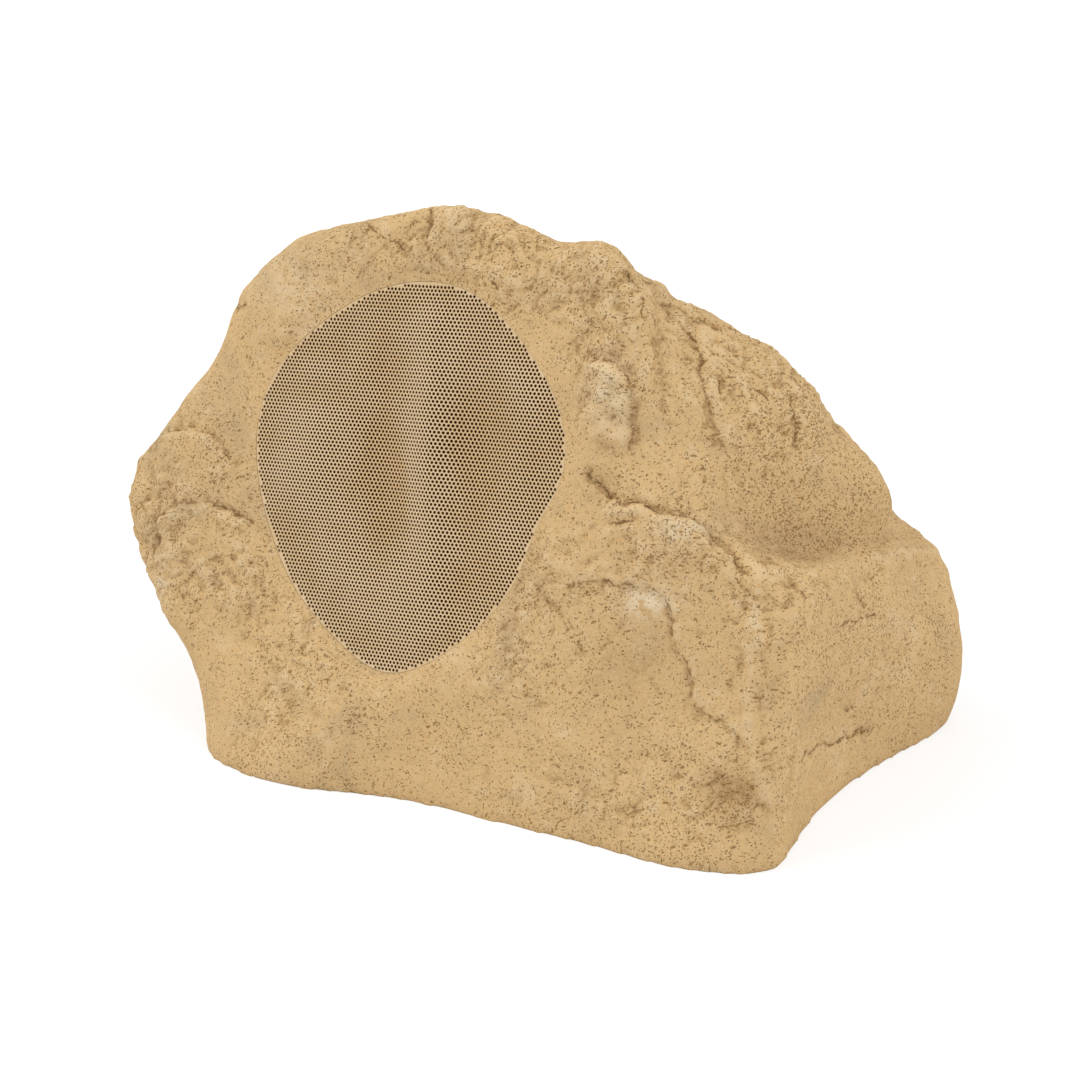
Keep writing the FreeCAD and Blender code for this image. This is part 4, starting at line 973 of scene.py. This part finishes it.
class ROCK_OT_grille(bpy.types.Operator):
    """Makes the perforated sheet of the grille with its folded rim"""
    bl_idname = "rock_speaker.grille"
    bl_label = "Grille"

    def execute(self, context):
        settings = context.scene.grille_settings
        space = GrilleSpace()
        sheet = lattice_sheet(space, settings.pitch, settings.turn, 0.0, 0.4 * settings.pitch)
        rim = [edge for edge in sheet.edges if edge.is_boundary]
        pull_edges(sheet, rim, (0.0, 0.0, -(space.depth - settings.thickness)))
        rim_level = -0.5 * settings.thickness
        holes = [vert for vert in sheet.verts if vert.co.z > rim_level and all(
            all(other.co.z > rim_level for other in face.verts) for face in vert.link_faces)]
        rim_verts = {vert for edge in rim if edge.is_valid for vert in edge.verts}
        holes = [vert for vert in holes if vert not in rim_verts]
        opened = bmesh.ops.bevel(sheet, geom=holes, offset=0.5 * settings.hole, offset_type="OFFSET",
                                 segments=1, profile=0.5, affect="VERTICES", material=-1,
                                 clamp_overlap=False)["faces"]
        bmesh.ops.delete(sheet, geom=opened, context="FACES")
        bmesh.ops.recalc_face_normals(sheet, faces=sheet.faces)
        # the stored lift also drives the paint's painted highlight and painted shade
        store(sheet, "swell", press(sheet, space, settings.swell, 0.0) / MM)
        set_smooth(sheet, False)
        grille = new_piece("grille_sheet", sheet, [grille_paint(settings)])
        thicken(grille, settings.thickness)
        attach(grille, CABINET)
        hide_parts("grille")
        return {"FINISHED"}


class ROCK_OT_scrim(bpy.types.Operator):
    """Makes the cloth that is stretched behind the grille"""
    bl_idname = "rock_speaker.scrim"
    bl_label = "Scrim"

    def execute(self, context):
        settings = context.scene.grille_settings
        space = GrilleSpace()
        sheet = lattice_sheet(space, settings.weave, settings.turn, settings.thickness + 0.6 * MM,
                              0.4 * settings.weave)
        area = sum(face.calc_area() for face in sheet.faces)
        bmesh.ops.delete(sheet, geom=[vert for vert in sheet.verts if not vert.link_faces], context="VERTS")
        bmesh.ops.recalc_face_normals(sheet, faces=sheet.faces)
        press(sheet, space, settings.swell, settings.thickness + 0.15 * MM)
        set_smooth(sheet, True)
        scrim = new_piece("grille_scrim", sheet, [scrim_weave(settings)])
        thicken(scrim, settings.cloth)
        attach(scrim, CABINET)
        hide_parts("grille_cloth")
        return {"FINISHED"}


# Materials

class Nodes:
    """Short calls for the nodes of a material or a world."""

    def __init__(self, tree):
        self.tree = tree

    def add(self, kind, values=None, **options):
        """A node of a kind, with its options set and its inputs linked or set."""
        node = self.tree.nodes.new(kind)
        for name, value in options.items():
            setattr(node, name, value)
        for name, value in (values or {}).items():
            self.put(node.inputs[name], value)
        return node

    def put(self, socket, value):
        """Links a socket to another one, or sets its value."""
        if isinstance(value, bpy.types.NodeSocket):
            self.tree.links.new(value, socket)
        elif socket.type == "RGBA" and len(value) == 3:
            socket.default_value = (*value, 1.0)
        else:
            socket.default_value = value

    def sum(self, operation, first, second):
        """One sum of two numbers or sockets."""
        return self.add("ShaderNodeMath", {0: first, 1: second}, operation=operation).outputs[0]

    def combined(self, operation, values):
        """Several sockets, taken together one after the other."""
        total = values[0]
        for value in values[1:]:
            total = self.sum(operation, total, value)
        return total


class Finish(Nodes):
    """A material with short calls for its nodes. Positions are the piece's own, in metres."""

    def __init__(self, name, roughness, metallic=0.0, specular=0.5):
        self.material = bpy.data.materials.new(name)
        self.material.use_nodes = True
        super().__init__(self.material.node_tree)
        self.shader = self.tree.nodes["Principled BSDF"]
        self.shader.inputs["Roughness"].default_value = roughness
        self.shader.inputs["Metallic"].default_value = metallic
        self.shader.inputs["Specular IOR Level"].default_value = specular
        self.place = self.add("ShaderNodeTexCoord").outputs["Object"]

    def moved(self, stretch=(1.0, 1.0, 1.0), turn=(0.0, 0.0, 0.0), place=None):
        """A position that stretches what is drawn over it along turned axes."""
        values = {"Vector": place or self.place, "Scale": stretch, "Rotation": turn}
        return self.add("ShaderNodeMapping", values, vector_type="TEXTURE").outputs[0]

    def shaken(self, size, amount):
        """The position shifted about by noise of a size, by up to about half an amount in metres."""
        wild = self.add("ShaderNodeTexNoise", {"Vector": self.place, "Scale": 1.0 / size, "Detail": 2.0})
        values = {0: wild.outputs["Color"], 1: (amount,) * 3}
        shift = self.add("ShaderNodeVectorMath", values, operation="MULTIPLY")
        values = {0: self.place, 1: shift.outputs[0]}
        return self.add("ShaderNodeVectorMath", values, operation="ADD").outputs[0]

    def cloud(self, size, detail=2.0, roughness=0.5, distortion=0.0, place=None):
        """Noise from 0 to 1 with lumps of a size in metres."""
        values = {"Vector": place or self.place, "Scale": 1.0 / size, "Detail": detail,
                  "Roughness": roughness, "Distortion": distortion}
        return self.add("ShaderNodeTexNoise", values).outputs["Fac"]

    def cells(self, size, place=None):
        """Round cells of a size in metres: the distance from each middle, in cells, and a random colour."""
        node = self.add("ShaderNodeTexVoronoi", {"Vector": place or self.place, "Scale": 1.0 / size})
        return node.outputs["Distance"], node.outputs["Color"]

    def scattered(self, size, more, rare, edge, core, place=None):
        """Spots in the cells whose chance, with more added, passes rare, eased from edge to core."""
        distance, chance = self.cells(size, place)
        gate = self.sum("GREATER_THAN", self.sum("ADD", chance, more), rare)
        return self.sum("MULTIPLY", self.band(distance, edge, core), gate)

    def waves(self, scale, distortion, axis, place=None):
        """Even waves along an axis, from 0 to 1."""
        values = {"Vector": place or self.place, "Scale": scale, "Distortion": distortion}
        return self.add("ShaderNodeTexWave", values, bands_direction=axis).outputs["Fac"]

    def band(self, value, low, high):
        """A value eased from 0 at low to 1 at high; high may be below low."""
        values = {"Value": value, "From Min": low, "From Max": high}
        return self.add("ShaderNodeMapRange", values, interpolation_type="SMOOTHSTEP").outputs["Result"]

    def spread(self, value, low, high):
        """A value from 0 to 1 spread between two numbers."""
        values = {"Value": value, "To Min": low, "To Max": high}
        return self.add("ShaderNodeMapRange", values).outputs["Result"]

    def mix(self, share, first, second):
        """Two colours mixed by a share."""
        return self.add("ShaderNodeMix", {0: share, 6: first, 7: second}, data_type="RGBA").outputs[2]

    def share(self, value, strength, first, second):
        """The first colour with the second laid over it by a value times a strength."""
        return self.mix(self.sum("MULTIPLY", value, strength), first, second)

    def ramp(self, value, *stops):
        """Colours along a value, as pairs of position and colour."""
        node = self.add("ShaderNodeValToRGB", {"Fac": value})
        steps = node.color_ramp.elements
        while len(steps) < len(stops):
            steps.new(0.5)
        for step, (position, colour) in zip(steps, stops):
            step.position = position
            step.color = (*colour, 1.0)
        return node.outputs["Color"]

    def reads(self, name):
        """A number that the piece's mesh holds for each vertex."""
        return self.add("ShaderNodeAttribute", attribute_name=name).outputs["Fac"]

    def bump(self, height, strength, depth, below=None):
        """A bump of a depth in metres, laid over another one."""
        values = {"Height": height, "Strength": strength, "Distance": depth}
        if below is not None:
            values["Normal"] = below
        return self.add("ShaderNodeBump", values).outputs["Normal"]

    def paint(self, colour, normal=None):
        """Ends the material with its colour and bump."""
        self.put(self.shader.inputs["Base Color"], colour)
        if normal is not None:
            self.put(self.shader.inputs["Normal"], normal)
        return self.material


def shade(colour, factor):
    """A colour made lighter or darker."""
    return tuple(min(1.0, part * factor) for part in colour)


def sandstone_coat(settings):
    """Matte sandy coat: tan with dusty and rubbed patches, fine grain, thin dashes, specks and cracks; silt and
    painted shade in the hollows, a smear and painted shade in dark spots, and rubbed edges with a painted
    highlight.
    """
    coat = Finish("sandstone coat", 0.95, specular=0.15)
    tan, pale, dark = tuple(settings.tan), tuple(settings.pale), tuple(settings.dark)
    orange, grey, rust = tuple(settings.orange), tuple(settings.grey), tuple(settings.rust)
    hollow, crack, dashed = coat.reads("hollow"), coat.reads("crack"), coat.reads("dashed")
    stain, rubbed = coat.reads("stain"), coat.reads("pale")
    patch = coat.cloud(0.060, 4.0, 0.55, 0.6)
    colour = coat.ramp(patch, (0.30, grey), (0.46, tan), (0.62, shade(tan, 1.05)), (0.80, pale))
    blotch = coat.cloud(0.010, 4.0, 0.6, 0.5)
    colour = coat.share(coat.band(blotch, 0.52, 0.74), 0.55, colour, grey)
    colour = coat.share(coat.band(blotch, 0.46, 0.26), 0.55, colour, shade(pale, 0.96))
    sand = coat.cloud(0.0013, 3.0, 0.7)
    colour = coat.share(coat.band(sand, 0.50, 0.72), 0.62, colour, shade(tan, 0.62))
    colour = coat.share(coat.band(sand, 0.48, 0.28), 0.50, colour, pale)
    warm = coat.sum("MULTIPLY", coat.band(coat.cloud(0.004, 3.0, 0.6), 0.58, 0.70),
                    coat.band(coat.cloud(0.035, 2.0), 0.48, 0.64))
    colour = coat.share(warm, 0.40, colour, orange)
    # lighter where the relief stands above its neighbours: rubbed edges and painted highlight both
    colour = coat.share(coat.band(hollow, -0.15, -0.9), 0.45, colour, pale)
    # darker in the hollows: settled silt and painted shade both
    silt_and_shade = coat.sum("MULTIPLY", coat.band(hollow, 0.08, 0.7),
                    coat.band(coat.cloud(0.0035, 4.0, 0.65), 0.35, 0.60))
    colour = coat.share(silt_and_shade, 0.70, colour, tuple(settings.silt_and_shade))
    flecks = coat.sum("MULTIPLY", rubbed, coat.band(coat.cloud(0.0055, 4.0, 0.65), 0.36, 0.58))
    colour = coat.share(flecks, 0.90, colour, tuple(settings.chalk))
    # dark spots: a real smear at the foot, painted shade in the scoop, on the dish, in the pit and under the ledge
    colour = coat.share(stain, 0.55, colour, tuple(settings.silt_and_shade))
    dashes = dash_marks(coat, dashed, stain)
    specks = speck_marks(coat, dashed)
    lines = crack_lines(coat, crack)
    colour = coat.share(dashes, 0.76, colour, rust)
    colour = coat.share(specks, 0.85, colour, dark)
    colour = coat.share(lines, 0.78, colour, dark)
    marks = coat.combined("MAXIMUM", [dashes, specks, lines])
    grain = coat.bump(coat.cloud(0.0014, 4.0, 0.7), 0.60, 0.50 * MM)
    lumps = coat.bump(coat.cloud(0.0065, 5.0, 0.62, 0.3), 0.45, 1.5 * MM, grain)
    sunk = coat.bump(coat.sum("SUBTRACT", 1.0, marks), 0.7, 0.6 * MM, lumps)
    return coat.paint(colour, sunk)


def dash_marks(coat, dashed, stain):
    """Thin short dashes: slices through long narrow cells that lie several ways, most in dashed areas."""
    shaken = coat.shaken(0.0050, 0.0026)
    crowd = coat.spread(coat.cloud(0.016, 2.0), -0.46, 0.58)
    more = coat.sum("ADD", coat.sum("MULTIPLY", dashed, 0.34), coat.sum("MULTIPLY", stain, 0.25))
    more = coat.sum("ADD", more, crowd)
    marks = []
    for width, stretch, turn, rare in (
            (0.0018, 4.0, (0.0, 90.0, 32.0), 0.80), (0.0016, 3.5, (0.0, 76.0, 70.0), 0.82),
            (0.0017, 4.0, (18.0, 20.0, 0.0), 0.88), (0.0015, 3.0, (0.0, 52.0, 140.0), 0.86),
            (0.0012, 3.5, (0.0, 84.0, 50.0), 0.70),
            (0.0030, 4.5, (0.0, 86.0, 42.0), 0.94), (0.0034, 4.0, (30.0, 30.0, 20.0), 0.98)):
        angles = tuple(math.radians(angle) for angle in turn)
        place = coat.moved((1.0, 1.0, stretch), angles, shaken)
        marks.append(coat.scattered(width, more, rare, 0.27, 0.11, place))
    return coat.combined("MAXIMUM", marks)


def speck_marks(coat, dashed):
    """Tiny dark specks, scattered one in several cells."""
    more = coat.sum("MULTIPLY", dashed, 0.10)
    sizes = ((0.0026, 0.72), (0.0017, 0.64))
    return coat.combined("MAXIMUM", [coat.scattered(size, more, rare, 0.22, 0.12) for size, rare in sizes])


def crack_lines(coat, crack):
    """Thin dark cracks along the lines that the mesh holds the distance to, with broken darkness round."""
    wobble = coat.spread(coat.cloud(0.0036, 4.0, 0.70), -2.6, 2.6)
    gap = coat.sum("ABSOLUTE", coat.sum("ADD", coat.reads("line"), wobble), 0.0)
    thickness = coat.spread(coat.cloud(0.0050, 2.0), -0.35, 1.45)
    thin = coat.band(gap, thickness, coat.sum("MULTIPLY", thickness, 0.35))
    broken = coat.band(coat.cloud(0.0060, 2.0), 0.40, 0.52)
    gate = coat.band(coat.reads("line_gate"), 0.05, 0.45)
    line = coat.combined("MULTIPLY", [thin, broken, gate])
    grain = coat.band(coat.cloud(0.0022, 3.0), 0.42, 0.60)
    torn = coat.sum("MULTIPLY", coat.band(crack, 0.25, 0.85), grain)
    return coat.sum("MAXIMUM", line, torn)


def moulded_resin(settings):
    """The bare moulded resin inside the rock and in the grille's pocket."""
    resin = Finish("moulded resin", 0.8, specular=0.3)
    tone = resin.cloud(0.020, 4.0, 0.6)
    colour = resin.ramp(tone, (0.35, shade(settings.tan, 0.62)), (0.65, shade(settings.tan, 0.80)))
    return resin.paint(colour, resin.bump(resin.cloud(0.003, 4.0), 0.3, 0.6 * MM))


def grille_paint(settings):
    """Matte tan paint on the perforated sheet, a little uneven and dusty, lighter on the sheet's swells and darker
    in its hollows as painted highlight and painted shade.
    """
    coat = Finish("grille paint", 0.75, specular=0.3)
    paint = tuple(settings.paint)
    cloud = coat.sum("MULTIPLY", coat.cloud(0.020, 3.0, 0.55), 0.6)
    # painted light and shade: lighter on the sheet's swells, darker in its hollows
    swell = coat.sum("MULTIPLY", coat.band(coat.reads("swell"), -2.5, 2.5), 0.4)
    tone = coat.sum("ADD", cloud, swell)
    colour = coat.ramp(tone, (0.34, tuple(settings.brown_and_shade)), (0.50, paint), (0.64, tuple(settings.cream_and_highlight)))
    return coat.paint(colour, coat.bump(coat.cloud(0.0012, 3.0), 0.15, 0.2 * MM))


def scrim_weave(settings):
    """Fine black cloth with a plain weave."""
    cloth = Finish("scrim weave", 0.95, specular=0.1)
    black = tuple(settings.black)
    places = [cloth.moved(turn=(0.0, 0.0, turn)) for turn in (0.0, math.pi / 2)]
    threads = cloth.combined("MAXIMUM", [cloth.waves(320.0, 0.3, "X", place) for place in places])
    colour = cloth.mix(threads, shade(black, 0.5), shade(black, 1.6))
    return cloth.paint(colour, cloth.bump(threads, 0.5, 0.2 * MM))


def grained(name, colour, roughness, specular, size, depth):
    """Moulded, painted or baked surface with a fine grain and a slight unevenness of colour."""
    finish = Finish(name, roughness, specular=specular)
    tone = finish.cloud(0.012, 4.0, 0.6)
    painted = finish.ramp(tone, (0.30, shade(colour, 0.80)), (0.70, shade(colour, 1.20)))
    return finish.paint(painted, finish.bump(finish.cloud(size, 3.0), 0.4, depth * MM))


def brushed(name, colour, roughness):
    """Metal with fine scratches along one way and a cloudy tone."""
    finish = Finish(name, roughness, metallic=1.0)
    lines = finish.cloud(0.004, 4.0, 0.7, place=finish.moved((14.0, 1.0, 1.0)))
    cloud = finish.sum("MULTIPLY", finish.cloud(0.01), 0.5)
    tone = finish.sum("ADD", finish.sum("MULTIPLY", lines, 0.5), cloud)
    painted = finish.ramp(tone, (0.30, shade(colour, 0.80)), (0.70, shade(colour, 1.12)))
    return finish.paint(painted, finish.bump(lines, 0.25, 0.05 * MM))


def woven(name, colour, roughness, pitch):
    """Cloth with threads two ways."""
    finish = Finish(name, roughness, specular=0.2)
    threads = finish.combined("MULTIPLY", [finish.waves(0.16 / pitch, 0.4, axis) for axis in ("X", "Z")])
    painted = finish.mix(threads, shade(colour, 0.7), shade(colour, 1.2))
    return finish.paint(painted, finish.bump(threads, 0.5, 0.2 * MM))


def wound(name, colour, pitch, axis):
    """Enamelled wire wound in close turns along an axis."""
    finish = Finish(name, 0.35, metallic=0.8)
    turn = Vector((0.0, 0.0, 1.0)).rotation_difference(axis).to_euler()
    turns = finish.waves(0.31 / pitch, 0.1, "Z", finish.moved(turn=tuple(turn)))
    painted = finish.mix(turns, shade(colour, 0.55), shade(colour, 1.15))
    return finish.paint(painted, finish.bump(turns, 0.6, 0.3 * MM))


def colour_of(slot):
    """The colour that the record gives a slot."""
    return next(tuple(entry["base_color"]) for entry in frame["record"]["materials"] if entry["slot"] == slot)


SLOT_OF = {entry["node"]: entry["material_slot"] for entry in frame["record"]["subparts"]}
WOUND_AXES = {"voice_coil": DRIVER_AXIS, "inductor": Vector((0.0, 0.0, 1.0))}
FINISHES = {
    "black_plastic": (grained, "black plastic", 0.55, 0.4, 0.0010, 0.12),
    "gland_nylon": (grained, "gland nylon", 0.42, 0.4, 0.0020, 0.06),
    "black_rubber": (grained, "black rubber", 0.80, 0.25, 0.0008, 0.08),
    "foam": (grained, "closed foam", 0.95, 0.15, 0.0009, 0.30),
    "zinc_steel": (brushed, "zinc plate", 0.38),
    "basket_paint": (grained, "basket paint", 0.45, 0.4, 0.0016, 0.08),
    "cone_plastic": (grained, "cone plastic", 0.60, 0.30, 0.0014, 0.10),
    "spider_cloth": (woven, "spider cloth", 0.85, 0.8 * MM),
    "former_aluminium": (brushed, "former foil", 0.30),
    "ferrite": (grained, "ground ferrite", 0.70, 0.35, 0.0010, 0.10),
    "strip_board": (woven, "strip board", 0.60, 1.0 * MM),
    "tinned_brass": (brushed, "tinned brass", 0.32),
    "dome_silk": (woven, "dome silk", 0.70, 0.5 * MM),
    "green_board": (grained, "green board", 0.40, 0.5, 0.0030, 0.05),
    "can_sleeve": (grained, "can sleeve", 0.28, 0.5, 0.0060, 0.05),
    "white_ceramic": (grained, "white ceramic", 0.65, 0.4, 0.0012, 0.08),
    "terminal_plastic": (grained, "terminal plastic", 0.45, 0.4, 0.0020, 0.06),
    "lead_sleeve": (grained, "lead sleeve", 0.40, 0.45, 0.0040, 0.05),
}
WIRE_PITCH = 0.5 * MM
MADE_FINISHES = {}


def finish_for(node):
    """The material of a CAD node, made once for each slot, and once for each winding."""
    slot = SLOT_OF[node]
    name = node if node in WOUND_AXES else slot
    if name not in MADE_FINISHES:
        if node in WOUND_AXES:
            MADE_FINISHES[name] = wound(node + " winding", colour_of(slot), WIRE_PITCH, WOUND_AXES[node])
        else:
            maker, label, *numbers = FINISHES[slot]
            MADE_FINISHES[name] = maker(label, colour_of(slot), *numbers)
    return MADE_FINISHES[name]


def dress(nodes):
    """Gives CAD nodes the finishes of their slots."""
    for node in nodes:
        data = frame["nodes"][node].data
        data.materials.clear()
        data.materials.append(finish_for(node))


class ROCK_OT_base(bpy.types.Operator):
    """Finishes the base plate, its seal and its screws"""
    bl_idname = "rock_speaker.base"
    bl_label = "Base"

    def execute(self, context):
        dress(["base_plate", "base_seal", "base_screws"])
        return {"FINISHED"}


class ROCK_OT_gland(bpy.types.Operator):
    """Finishes the cable gland at the rear"""
    bl_idname = "rock_speaker.gland"
    bl_label = "Cable gland"

    def execute(self, context):
        dress(["gland_body", "gland_washer", "gland_locknut", "gland_seal", "gland_cap"])
        return {"FINISHED"}


class ROCK_OT_driver(bpy.types.Operator):
    """Finishes the driver, its moving cone and its tweeter"""
    bl_idname = "rock_speaker.driver"
    bl_label = "Driver"

    def execute(self, context):
        dress(["driver_gasket", "driver_screws", "basket", "surround", "trim_ring", "cone", "spider",
               "coil_former", "voice_coil", "top_plate", "magnet", "yoke", "terminal_strip", "terminal_tabs",
               "tweeter_post", "post_nut", "tweeter_pod", "tweeter_magnet", "tweeter_dome", "tweeter_face"])
        return {"FINISHED"}


class ROCK_OT_crossover(bpy.types.Operator):
    """Finishes the crossover board, its parts and its leads"""
    bl_idname = "rock_speaker.crossover"
    bl_label = "Crossover"

    def execute(self, context):
        dress(["crossover_board", "board_standoffs", "board_screws", "inductor", "capacitor_large",
               "capacitor_small", "resistor", "terminal_block", "woofer_lead", "tweeter_lead"])
        return {"FINISHED"}


# The stage

class StageSettings(bpy.types.PropertyGroup):
    """Light and floor of the stage."""
    sky: FloatProperty(name="Sky", description="Strength of the light from all round", default=0.72)
    right: FloatProperty(name="Right light", description="Strength of the soft light on the right",
                         default=0.90)
    left: FloatProperty(name="Left light", description="Strength of the soft light on the left", default=1.18)
    right_azimuth: FloatProperty(name="Right turn", description="Where the right light stands",
                                 subtype="ANGLE", default=math.radians(92.0))
    left_azimuth: FloatProperty(name="Left turn", description="Where the left light stands", subtype="ANGLE",
                                default=math.radians(-62.0))
    lift: FloatProperty(name="Light height", description="How high both lights stand", subtype="ANGLE",
                        default=math.radians(43.0))
    spread: FloatProperty(name="Softness", description="How wide both lights are", subtype="ANGLE",
                          default=math.radians(50.0))
    floor: FloatProperty(name="Floor", description="Half the width of the floor", default=20.0, unit="LENGTH")


WHITE = (1.0, 1.0, 1.0)
FLOOR_BOUNCE = (0.80, 0.80, 0.80)
FLOOR_SHOWN = (0.42, 0.42, 0.42)
FLOOR_GLOW = 0.64
SENSOR_WIDTH = 36.0


def cleared(holder):
    """The emptied nodes of a material or a world."""
    holder.use_nodes = True
    holder.node_tree.nodes.clear()
    return Nodes(holder.node_tree)


def shown_and_lit(nodes, lit, shown):
    """One shader for light that falls on things, and another for camera, mirror and see-through rays."""
    path = nodes.add("ShaderNodeLightPath").outputs
    rays = [path["Is %s Ray" % kind] for kind in ("Camera", "Glossy", "Transmission")]
    seen = nodes.combined("MAXIMUM", rays)
    values = {0: seen, 1: lit.outputs[0], 2: shown.outputs[0]}
    return nodes.add("ShaderNodeMixShader", values).outputs[0]


def white_world(strength):
    """A world that is white to look at and lights the object softly."""
    world = bpy.data.worlds.new("studio")
    nodes = cleared(world)
    light = nodes.add("ShaderNodeBackground", {"Color": WHITE, "Strength": strength})
    white = nodes.add("ShaderNodeBackground", {"Color": WHITE, "Strength": 1.0})
    nodes.add("ShaderNodeOutputWorld", {"Surface": shown_and_lit(nodes, light, white)})
    return world


def pale_floor():
    """A floor that looks white apart from the object's shadow, and throws soft light back up."""
    material = bpy.data.materials.new("pale floor")
    nodes = cleared(material)
    plain = nodes.add("ShaderNodeBsdfDiffuse", {"Color": FLOOR_BOUNCE})
    half = nodes.add("ShaderNodeBsdfDiffuse", {"Color": FLOOR_SHOWN})
    glow = nodes.add("ShaderNodeEmission", {"Strength": FLOOR_GLOW})
    shown = nodes.add("ShaderNodeAddShader", {0: half.outputs[0], 1: glow.outputs[0]})
    nodes.add("ShaderNodeOutputMaterial", {"Surface": shown_and_lit(nodes, plain, shown)})
    return material


def aim(item, back):
    """Turns a light or the camera to look away from the way it stands."""
    item.rotation_euler = (-back).to_track_quat("-Z", "Y").to_euler()


class ROCK_OT_stage(bpy.types.Operator):
    """Makes the floor, the light and the camera"""
    bl_idname = "rock_speaker.stage"
    bl_label = "Stage"

    def execute(self, context):
        scene = context.scene
        settings = scene.stage_settings
        scene.view_settings.view_transform = "Standard"
        scene.world = white_world(settings.sky)
        ground = bmesh.new()
        bmesh.ops.create_grid(ground, x_segments=1, y_segments=1, size=settings.floor)
        floor = new_piece("stage_floor", ground, [pale_floor()])
        self.add_light("right light", settings.right, settings.right_azimuth, settings)
        self.add_light("left light", settings.left, settings.left_azimuth, settings)
        camera = linked("camera", bpy.data.cameras.new("camera"))
        camera.data.sensor_width = SENSOR_WIDTH
        camera.data.lens = SENSOR_WIDTH * PHOTO_FOCAL / PHOTO_SIZE
        back = Vector(PHOTO.back)
        camera.location = PHOTO_TARGET + PHOTO_DISTANCE * back
        aim(camera, back)
        scene.camera = camera
        return {"FINISHED"}

    def add_light(self, name, strength, turn, settings):
        """One wide soft sun at a turn round the object."""
        light = linked(name, bpy.data.lights.new(name, "SUN"))
        light.data.energy = strength
        light.data.angle = settings.spread
        aim(light, Vector(direction(turn, settings.lift)))


# The add-on

PIECE_OPERATORS = [ROCK_OT_shell, ROCK_OT_grille, ROCK_OT_scrim, ROCK_OT_base, ROCK_OT_gland, ROCK_OT_driver,
                   ROCK_OT_crossover, ROCK_OT_stage]
SETTINGS = {"rock_settings": RockSettings, "grille_settings": GrilleSettings, "stage_settings": StageSettings}


class ROCK_PT_panel(bpy.types.Panel):
    """Lists the rock speaker's pieces"""
    bl_label = "Rock speaker"
    bl_idname = "ROCK_PT_panel"
    bl_space_type = "VIEW_3D"
    bl_region_type = "UI"
    bl_category = "Rock speaker"

    def draw(self, context):
        for operator in PIECE_OPERATORS:
            self.layout.operator(operator.bl_idname)
        for name, group in SETTINGS.items():
            for setting in group.__annotations__:
                self.layout.prop(getattr(context.scene, name), setting)


def register():
    """Registers the settings, the operators and the panel."""
    for name, group in SETTINGS.items():
        bpy.utils.register_class(group)
        setattr(bpy.types.Scene, name, PointerProperty(type=group))
    for item in [*PIECE_OPERATORS, ROCK_PT_panel]:
        bpy.utils.register_class(item)


def unregister():
    """Takes the panel, the operators and the settings away again."""
    for item in [ROCK_PT_panel, *reversed(PIECE_OPERATORS)]:
        bpy.utils.unregister_class(item)
    for name, group in SETTINGS.items():
        delattr(bpy.types.Scene, name)
        bpy.utils.unregister_class(group)


def main():
    """Builds every piece and the stage."""
    register()
    bpy.ops.rock_speaker.shell()
    bpy.ops.rock_speaker.grille()
    bpy.ops.rock_speaker.scrim()
    bpy.ops.rock_speaker.base()
    bpy.ops.rock_speaker.gland()
    bpy.ops.rock_speaker.driver()
    bpy.ops.rock_speaker.crossover()
    bpy.ops.rock_speaker.stage()


if __name__ == "__main__":
    main()
